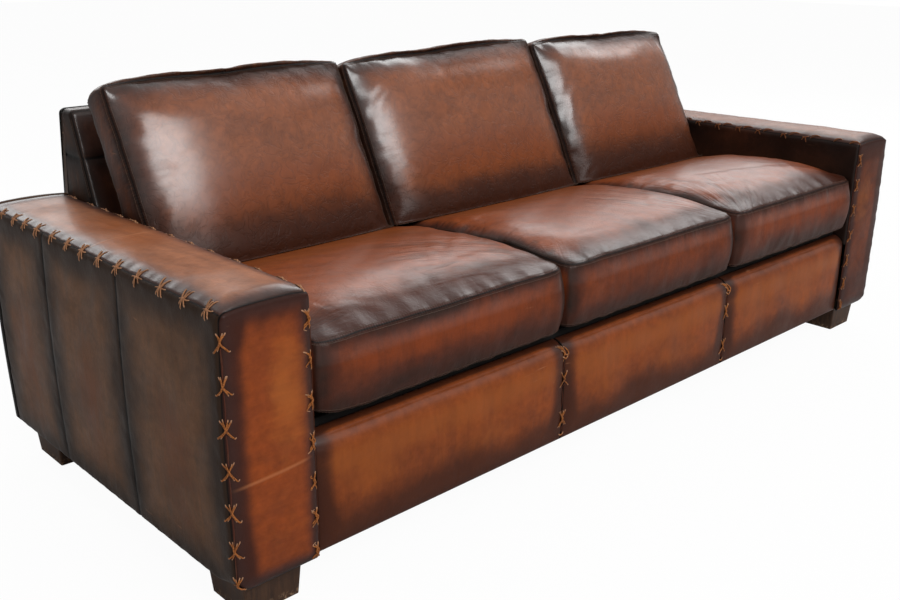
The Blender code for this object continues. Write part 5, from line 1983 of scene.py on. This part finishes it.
def make_rail_lacing():
    settings = bpy.context.scene.sofa_lacing
    rails = [bpy.data.objects[f"front_rail_leather_{label}"] for label in SEATS]
    tree = surface_tree(*rails)
    right = np.array([1.0, 0.0, 0.0])
    for number, (label, neighbour) in enumerate(zip(SEATS, SEATS[1:])):
        seam = (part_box(f"front_rail_panel_{label}")[1][0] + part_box(f"front_rail_panel_{neighbour}")[0][0]) / 2
        lacing = Lacing(tree, settings.seed + 50 + number)
        front = FRONT + 0.008
        seam_line = Ridge([seam, front, 0.0], UP, right, -right)
        for z in (0.238, 0.135):
            lacing.cross(
                Ridge([seam, front, z], UP, right, -right), 0.023, 0.015, 0.016, hook=0.0, extra=0.6, bridge=0.003
            )
        for high, low in ((0.296, 0.25), (0.226, 0.15), (0.122, 0.1)):
            lacing.run_between(seam_line, high, low, 0.0, 0.002)
        # the end stitch below, and the knot on the roll
        lacing.lay(
            seam_line, [seam_line.point(-0.009, 0.1), seam_line.point(0.0, 0.092), seam_line.point(0.009, 0.101)]
        )
        top = np.array([seam, front + 0.004, 0.306])
        for a, b, c, lift in (
            ((-0.022, 0.014, 0.014), (-0.008, 0.004, 0.008), (0.004, -0.004, -0.004), 0.0),
            ((-0.014, 0.014, 0.015), (-0.004, 0.003, 0.006), (0.006, -0.004, -0.008), 0.0012),
            ((-0.004, 0.01, 0.014), (0.003, 0.0, 0.0), (-0.002, -0.006, -0.026), 0.0016),
            ((0.002, 0.01, 0.012), (0.012, -0.004, -0.004), (0.004, -0.006, -0.02), 0.001),
            ((-0.007, 0.0, -0.01), (0.002, -0.004, -0.017), (0.011, -0.002, -0.01), 0.0022),
            ((-0.008, 0.006, 0.004), (0.001, -0.002, -0.006), (0.012, -0.004, -0.008), 0.003),
        ):
            lacing.lay(seam_line, [top + np.array(a), top + np.array(b), top + np.array(c)], lift=lift)
        lacing.piece(f"front_rail_lacing_{label}_{neighbour}")


# ---------------------------------------------------------------- seams sewn on the frame leather


def make_frame_stitching():
    """Rows of thread beside the front edge of each back end, two on it and one on the inside back."""
    heights = np.linspace(ARM_EDGE_HEIGHT + 0.012, WEDGE_TOP - 0.02, 24)
    for label, side in SIDES:
        tree = surface_tree(bpy.data.objects[f"back_end_leather_{label}"], bpy.data.objects["inside_back_leather"])
        lines = []
        for inward, offset in ((0.0, 0.006), (0.0, 0.011), (0.007, 0.0)):
            line = [(side * (INNER - inward), float(wedge_front(z)) + offset, z) for z in heights]
            lines.append((np.array(line), False))
        sew(f"back_end_topstitching_{label}", tree, lines)

# ---------------------------------------------------------------- deck, roll and dust cloth


def cloth_block(name, node_name, radius, material, slot, sag=0.0, cell=0.03, fill=None):
    low, high = (np.array(corner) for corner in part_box(node_name))
    fine = (radius * 0.35, radius)
    shell = Shell(
        stops(low[0], high[0], cell, fine),
        stops(low[1], high[1], min(cell, (high[1] - low[1]) / 3), fine if high[1] - low[1] > 4 * radius else ()),
        np.linspace(low[2], high[2], 5),
    )
    points = rounded(shell.flat, low, high, radius)
    u = (points[:, 0] - (low[0] + high[0]) / 2) / ((high[0] - low[0]) / 2)
    v = (points[:, 1] - (low[1] + high[1]) / 2) / ((high[1] - low[1]) / 2)
    points[:, 2] -= sag * (1 - u**4) * (1 - v**4)
    piece = make_piece(name, points, shell.faces, {}, material)
    settle(piece, node_name, slot=slot, fill=fill)
    return piece, (high[0] - low[0], high[1] - low[1])


def make_decks():
    cloth_block("spring_deck_cloth", "seat_deck", 0.004, "deck cloth", "deck_cloth", fill=0.9)
    cloth_block("front_edge_roll_cloth", "front_edge_roll", 0.0055, "deck cloth", "deck_cloth", fill=1.0)
    piece, size = cloth_block("dust_cloth_below", "dust_cover", 0.0012, "dust cloth", "dust_cloth", sag=0.004)


FRAME_FINISHES = {
    "planed hardwood": (
        "arm_board", "arm_bottom_rail", "arm_front_post", "arm_rear_post", "back_bottom_rail", "back_top_rail",
        "back_upright", "front_seat_rail", "rear_seat_rail", "seat_stretcher",
    ),
    "stained foot wood": ("foot_front", "foot_rear"),
    "oiled spring wire": ("seat_spring",),
    "zinc plated steel": ("foot_bolt",),
}


def dress_frame():
    for material, starts in FRAME_FINISHES.items():
        for name, obj in frame["nodes"].items():
            if name.startswith(starts):
                for slot in obj.material_slots:
                    slot.material = bpy.data.materials[material]


# ---------------------------------------------------------------- stage


def make_floor():
    for obj in bpy.context.view_layer.objects:
        obj.select_set(False)
    bpy.ops.mesh.primitive_plane_add(size=40.0, location=(0.0, 0.0, -0.0005))
    floor = bpy.context.active_object
    floor.name = "studio_floor"
    material = bpy.data.materials.new("pale floor")
    material.use_nodes = True
    tree = material.node_tree
    shader = tree.nodes["Principled BSDF"]
    out = tree.nodes["Material Output"]
    place = tree.nodes.new("ShaderNodeTexCoord").outputs["Object"]
    tone = ramp(tree, noise(tree, place, 1.2, 2.0), 0.3, 0.7, 0.8, 0.84, "LINEAR")
    mix = tree.nodes.new("ShaderNodeCombineColor")
    for name in ("Red", "Green", "Blue"):
        feed(tree, mix.inputs[name], tone)
    feed(tree, shader.inputs["Base Color"], mix.outputs["Color"])
    shader.inputs["Roughness"].default_value = 0.9
    shader.inputs["Specular IOR Level"].default_value = 0.1
    glow = tree.nodes.new("ShaderNodeEmission")
    glow.inputs["Strength"].default_value = 1.0
    share = mul(tree, seen_directly(tree, 0.12), 0.96)
    blend = tree.nodes.new("ShaderNodeMixShader")
    feed(tree, blend.inputs[0], share)
    feed(tree, blend.inputs[1], shader.outputs[0])
    feed(tree, blend.inputs[2], glow.outputs[0])
    feed(tree, out.inputs["Surface"], blend.outputs[0])
    floor.data.materials.append(material)


def make_lamp(name, power, size, place, target):
    light = bpy.data.lights.new(name, "AREA")
    light.energy = power
    light.shape = "RECTANGLE"
    light.size, light.size_y = size
    lamp = bpy.data.objects.new(name, light)
    bpy.context.scene.collection.objects.link(lamp)
    lamp.location = place
    lamp.rotation_euler = (Vector(target) - Vector(place)).to_track_quat("-Z", "Y").to_euler()


def make_stage():
    settings = bpy.context.scene.sofa_stage
    scene = bpy.context.scene
    scene.view_settings.view_transform = "Standard"
    camera = bpy.data.cameras.new("camera")
    camera.lens = settings.lens
    camera.sensor_width = 36.0
    camera.clip_end = 100.0
    stand = bpy.data.objects.new("camera", camera)
    scene.collection.objects.link(stand)
    stand.location = settings.place
    stand.rotation_euler = settings.turn
    scene.camera = stand

    world = bpy.data.worlds.new("studio")
    scene.world = world
    world.use_nodes = True
    tree = world.node_tree
    way = tree.nodes.new("ShaderNodeSeparateXYZ")
    feed(tree, way.inputs[0], tree.nodes.new("ShaderNodeTexCoord").outputs["Generated"])
    back = tree.nodes["Background"]
    back.inputs["Color"].default_value = (1.0, 1.0, 1.0, 1.0)
    feed(tree, back.inputs["Strength"], ramp(tree, way.outputs["Z"], 0.2, 0.72, settings.horizon, settings.overhead))
    white = tree.nodes.new("ShaderNodeBackground")
    white.inputs["Color"].default_value = (1.0, 1.0, 1.0, 1.0)
    white.inputs["Strength"].default_value = 1.0
    blend = tree.nodes.new("ShaderNodeMixShader")
    feed(tree, blend.inputs[0], seen_directly(tree, 0.12))
    feed(tree, blend.inputs[1], back.outputs[0])
    feed(tree, blend.inputs[2], white.outputs[0])
    feed(tree, tree.nodes["World Output"].inputs["Surface"], blend.outputs[0])

    make_lamp("softbox at the right", settings.softbox, (5.0, 2.6), (4.96, 2.8, 5.14), (0.0, -0.2, 0.5))
    make_lamp("low softbox at the right", settings.side, (2.6, 1.6), (5.8, 2.2, 2.5), (0.5, -0.4, 0.5))
    make_lamp("strip above the rail", settings.strip, (1.8, 1.8), (4.8, -0.5, 4.8), (0.0, -0.5, 0.3))
    make_lamp("large softbox far in front", settings.key, (5.2, 4.6), (-1.1, -7.5, 7.0), (-0.3, 0.1, 0.7))
    make_lamp("softbox behind", settings.rim, (3.4, 1.0), (-0.6, 3.3, 1.9), (-0.6, 0.0, 0.6))
    make_floor()


def seen_directly(tree, in_gloss):
    """1 for what the camera sees, itself or through glass, and a share of it for what gloss mirrors."""
    path = tree.nodes.new("ShaderNodeLightPath")
    gloss = mul(tree, path.outputs["Is Glossy Ray"], in_gloss)
    seen = calc(tree, "MAXIMUM", path.outputs["Is Camera Ray"], gloss)
    return calc(tree, "MAXIMUM", seen, path.outputs["Is Transmission Ray"])


def make_finishes():
    settings = bpy.context.scene.sofa_leather
    edge = tuple(settings.edge)
    side = tuple(settings.side)
    make_burnish_group()
    make_grain_group()
    make_crease_group()
    make_scuff_group()
    make_streak_group()
    make_seam_group()
    make_fold_group()
    make_fringe_group()
    rise = (0.0, math.radians(90.0), 0.0)
    make_leather("saddle leather, arm fronts", (0.235, 0.048, 0.01), (0.06, 0.02, 0.014), edge, 0.04, 0.012, 0.28,
                 crease=0.0008, fine=0.12, rough=0.46, specular=0.08, stroke=0.14, edge_coat=0.1)
    # the arm tops' middle colour is the leather's orange-brown, made lighter and greyer as a painted sheen
    make_leather("saddle leather, arm tops", (0.4, 0.155, 0.072), (0.085, 0.026, 0.014), edge, 0.045,
                 0.014, 0.3, crease=0.001, fine=0.2, rough=0.38, specular=0.3, stroke=0.25,
                 turn=(0.0, 0.0, math.radians(80.0)), coat=0.36, edge_coat=0.3, glow=(0.42, 0.125, 0.036))
    make_leather("burnished leather, arm sides", side, (0.048, 0.024, 0.013), (0.016, 0.01, 0.0075), 0.085, 0.035,
                 0.5, crease=0.001, fine=0.15, rough=0.5, specular=0.1, stroke=0.2, turn=rise,
                 glow=(0.16, 0.055, 0.022), edge_coat=0.0)
    make_leather("burnished leather, inner sides", (0.05, 0.018, 0.009), (0.026, 0.011, 0.007), (0.01, 0.006, 0.005),
                 0.09, 0.05, 0.6, crease=0.0012, fine=0.3, rough=0.42, specular=0.16, stroke=0.25, turn=rise,
                 glow=(0.09, 0.03, 0.014))
    make_leather("saddle leather, front rail", (0.225, 0.05, 0.01), (0.08, 0.021, 0.009), edge, 0.05, 0.02, 0.42,
                 crease=0.0012, fine=0.15, rough=0.42, specular=0.09, stroke=0.16, turn=rise, coat=0.0,
                 glow=(0.3, 0.078, 0.015))
    make_leather("saddle leather, seat tops", (0.27, 0.06, 0.014), (0.085, 0.022, 0.011), edge, 0.06, 0.03, 0.3,
                 crease=0.0025, fine=0.25, rough=0.34, specular=0.13, stroke=0.28,
                 turn=(0.0, 0.0, math.radians(40.0)), sewn=True, coat=0.43, glow=(0.3, 0.076, 0.016))
    make_leather("saddle leather, seat fronts", (0.165, 0.036, 0.01), (0.07, 0.019, 0.01), (0.022, 0.013, 0.01),
                 0.058, 0.03, 0.45, crease=0.0012, fine=0.3, rough=0.42, specular=0.08, stroke=0.26, turn=rise,
                 sewn=True, glow=(0.22, 0.045, 0.012), coat=0.0)
    make_leather("saddle leather, back fronts", (0.245, 0.072, 0.024), (0.08, 0.024, 0.012), edge, 0.085, 0.03, 0.22,
                 crease=0.0036, fine=0.55, rough=0.4, specular=0.08, stroke=0.22,
                 turn=(0.0, math.radians(65.0), 0.0), sewn=True, coat=0.95,
                 glow=(0.23, 0.056, 0.015))
    make_leather("saddle leather, back edges", (0.08, 0.025, 0.011), (0.045, 0.015, 0.009), edge, 0.045, 0.02, 0.35,
                 crease=0.0012, fine=0.3, rough=0.42, specular=0.16, stroke=0.25, turn=rise, sewn=True)
    make_leather("burnished leather, back frame", (0.075, 0.028, 0.016), (0.04, 0.017, 0.012), (0.014, 0.008, 0.006),
                 0.05, 0.015, 0.4, crease=0.001, fine=0.3, rough=0.38, specular=0.25, stroke=0.2, turn=rise, coat=0.35)
    make_leather("burnished leather, back ends", (0.036, 0.018, 0.011), (0.024, 0.013, 0.009), (0.01, 0.006, 0.005),
                 0.05, 0.015, 0.4, crease=0.001, fine=0.3, rough=0.5, specular=0.1, stroke=0.2, turn=rise)
    make_lace_material()
    make_thread_material()
    make_wood("planed hardwood", (0.3, 0.18, 0.085), (0.5, 0.33, 0.18), 0.62, False)
    make_wood("stained foot wood", (0.03, 0.014, 0.008), (0.068, 0.032, 0.016), 0.58, True)
    make_steel("oiled spring wire", (0.3, 0.29, 0.28), 0.32, 0.4)
    make_steel("zinc plated steel", (0.56, 0.56, 0.54), 0.28, 0.2)
    make_cloth("deck cloth", (0.007, 0.006, 0.0055), 1800.0, 0.0004)
    make_cloth("dust cloth", (0.016, 0.016, 0.016), 0.0, 0.0003)


# ---------------------------------------------------------------- operators


class SOFA_OT_finishes(bpy.types.Operator):
    """Makes the leathers, thread, lace, wood, steel and cloth"""

    bl_idname = "sofa.finishes"
    bl_label = "Finishes"

    def execute(self, context):
        make_finishes()
        return {"FINISHED"}


class SOFA_OT_stage(bpy.types.Operator):
    """Sets the camera, the soft lamps and the pale floor"""

    bl_idname = "sofa.stage"
    bl_label = "Stage"

    def execute(self, context):
        make_stage()
        return {"FINISHED"}


class SOFA_OT_arms(bpy.types.Operator):
    """Upholsters both arms"""

    bl_idname = "sofa.arms"
    bl_label = "Arms"

    def execute(self, context):
        make_arms()
        return {"FINISHED"}


class SOFA_OT_front_rail(bpy.types.Operator):
    """Upholsters the front rail"""

    bl_idname = "sofa.front_rail"
    bl_label = "Front rail"

    def execute(self, context):
        make_rail()
        return {"FINISHED"}


class SOFA_OT_back_leather(bpy.types.Operator):
    """Upholsters the back's front, top, ends and rear"""

    bl_idname = "sofa.back_leather"
    bl_label = "Back"

    def execute(self, context):
        make_back_leather()
        return {"FINISHED"}


class SOFA_OT_seat_cushions(bpy.types.Operator):
    """Makes the three seat cushions"""

    bl_idname = "sofa.seat_cushions"
    bl_label = "Seat cushions"

    def execute(self, context):
        make_seats()
        return {"FINISHED"}


class SOFA_OT_back_cushions(bpy.types.Operator):
    """Makes the three back cushions"""

    bl_idname = "sofa.back_cushions"
    bl_label = "Back cushions"

    def execute(self, context):
        make_backs()
        return {"FINISHED"}


class SOFA_OT_lacing(bpy.types.Operator):
    """Laces the arms and the front rail with rawhide"""

    bl_idname = "sofa.lacing"
    bl_label = "Lacing"

    def execute(self, context):
        make_lacing()
        return {"FINISHED"}


class SOFA_OT_frame_stitching(bpy.types.Operator):
    """Sews the double rows beside the back's ends"""

    bl_idname = "sofa.frame_stitching"
    bl_label = "Frame stitching"

    def execute(self, context):
        make_frame_stitching()
        return {"FINISHED"}


class SOFA_OT_decks(bpy.types.Operator):
    """Makes the deck, the front roll and the dust cloth"""

    bl_idname = "sofa.decks"
    bl_label = "Deck and dust cloth"

    def execute(self, context):
        make_decks()
        return {"FINISHED"}


class SOFA_OT_inner_frame(bpy.types.Operator):
    """Gives the wood, springs, bolts and feet their finishes"""

    bl_idname = "sofa.inner_frame"
    bl_label = "Frame and feet"

    def execute(self, context):
        dress_frame()
        return {"FINISHED"}


STEPS = (
    SOFA_OT_finishes,
    SOFA_OT_stage,
    SOFA_OT_inner_frame,
    SOFA_OT_decks,
    SOFA_OT_arms,
    SOFA_OT_front_rail,
    SOFA_OT_back_leather,
    SOFA_OT_seat_cushions,
    SOFA_OT_back_cushions,
    SOFA_OT_lacing,
    SOFA_OT_frame_stitching,
)


class SOFA_PT_panel(bpy.types.Panel):
    """Lists the sofa's steps and sizes"""

    bl_idname = "SOFA_PT_panel"
    bl_label = "Laced leather sofa"
    bl_space_type = "VIEW_3D"
    bl_region_type = "UI"
    bl_category = "Sofa"

    def draw(self, context):
        layout = self.layout
        for step in STEPS:
            layout.operator(step.bl_idname)
        for settings in SETTINGS:
            column = layout.column()
            group_of = getattr(context.scene, settings)
            for key in group_of.bl_rna.properties.keys():
                if key not in {"rna_type", "name"}:
                    column.prop(group_of, key)


SETTINGS = {
    "sofa_leather": LeatherSettings,
    "sofa_cushions": CushionSettings,
    "sofa_lacing": LacingSettings,
    "sofa_stage": StageSettings,
}
CLASSES = (*SETTINGS.values(), *STEPS, SOFA_PT_panel)


def register():
    for made in CLASSES:
        bpy.utils.register_class(made)
    for key, kind in SETTINGS.items():
        setattr(bpy.types.Scene, key, PointerProperty(type=kind))


def unregister():
    for key in SETTINGS:
        delattr(bpy.types.Scene, key)
    for made in reversed(CLASSES):
        bpy.utils.unregister_class(made)


def main():
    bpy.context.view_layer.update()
    register()
    for step in STEPS:
        area, name = step.bl_idname.split(".")
        getattr(getattr(bpy.ops, area), name)()


if __name__ == "__main__":
    main()
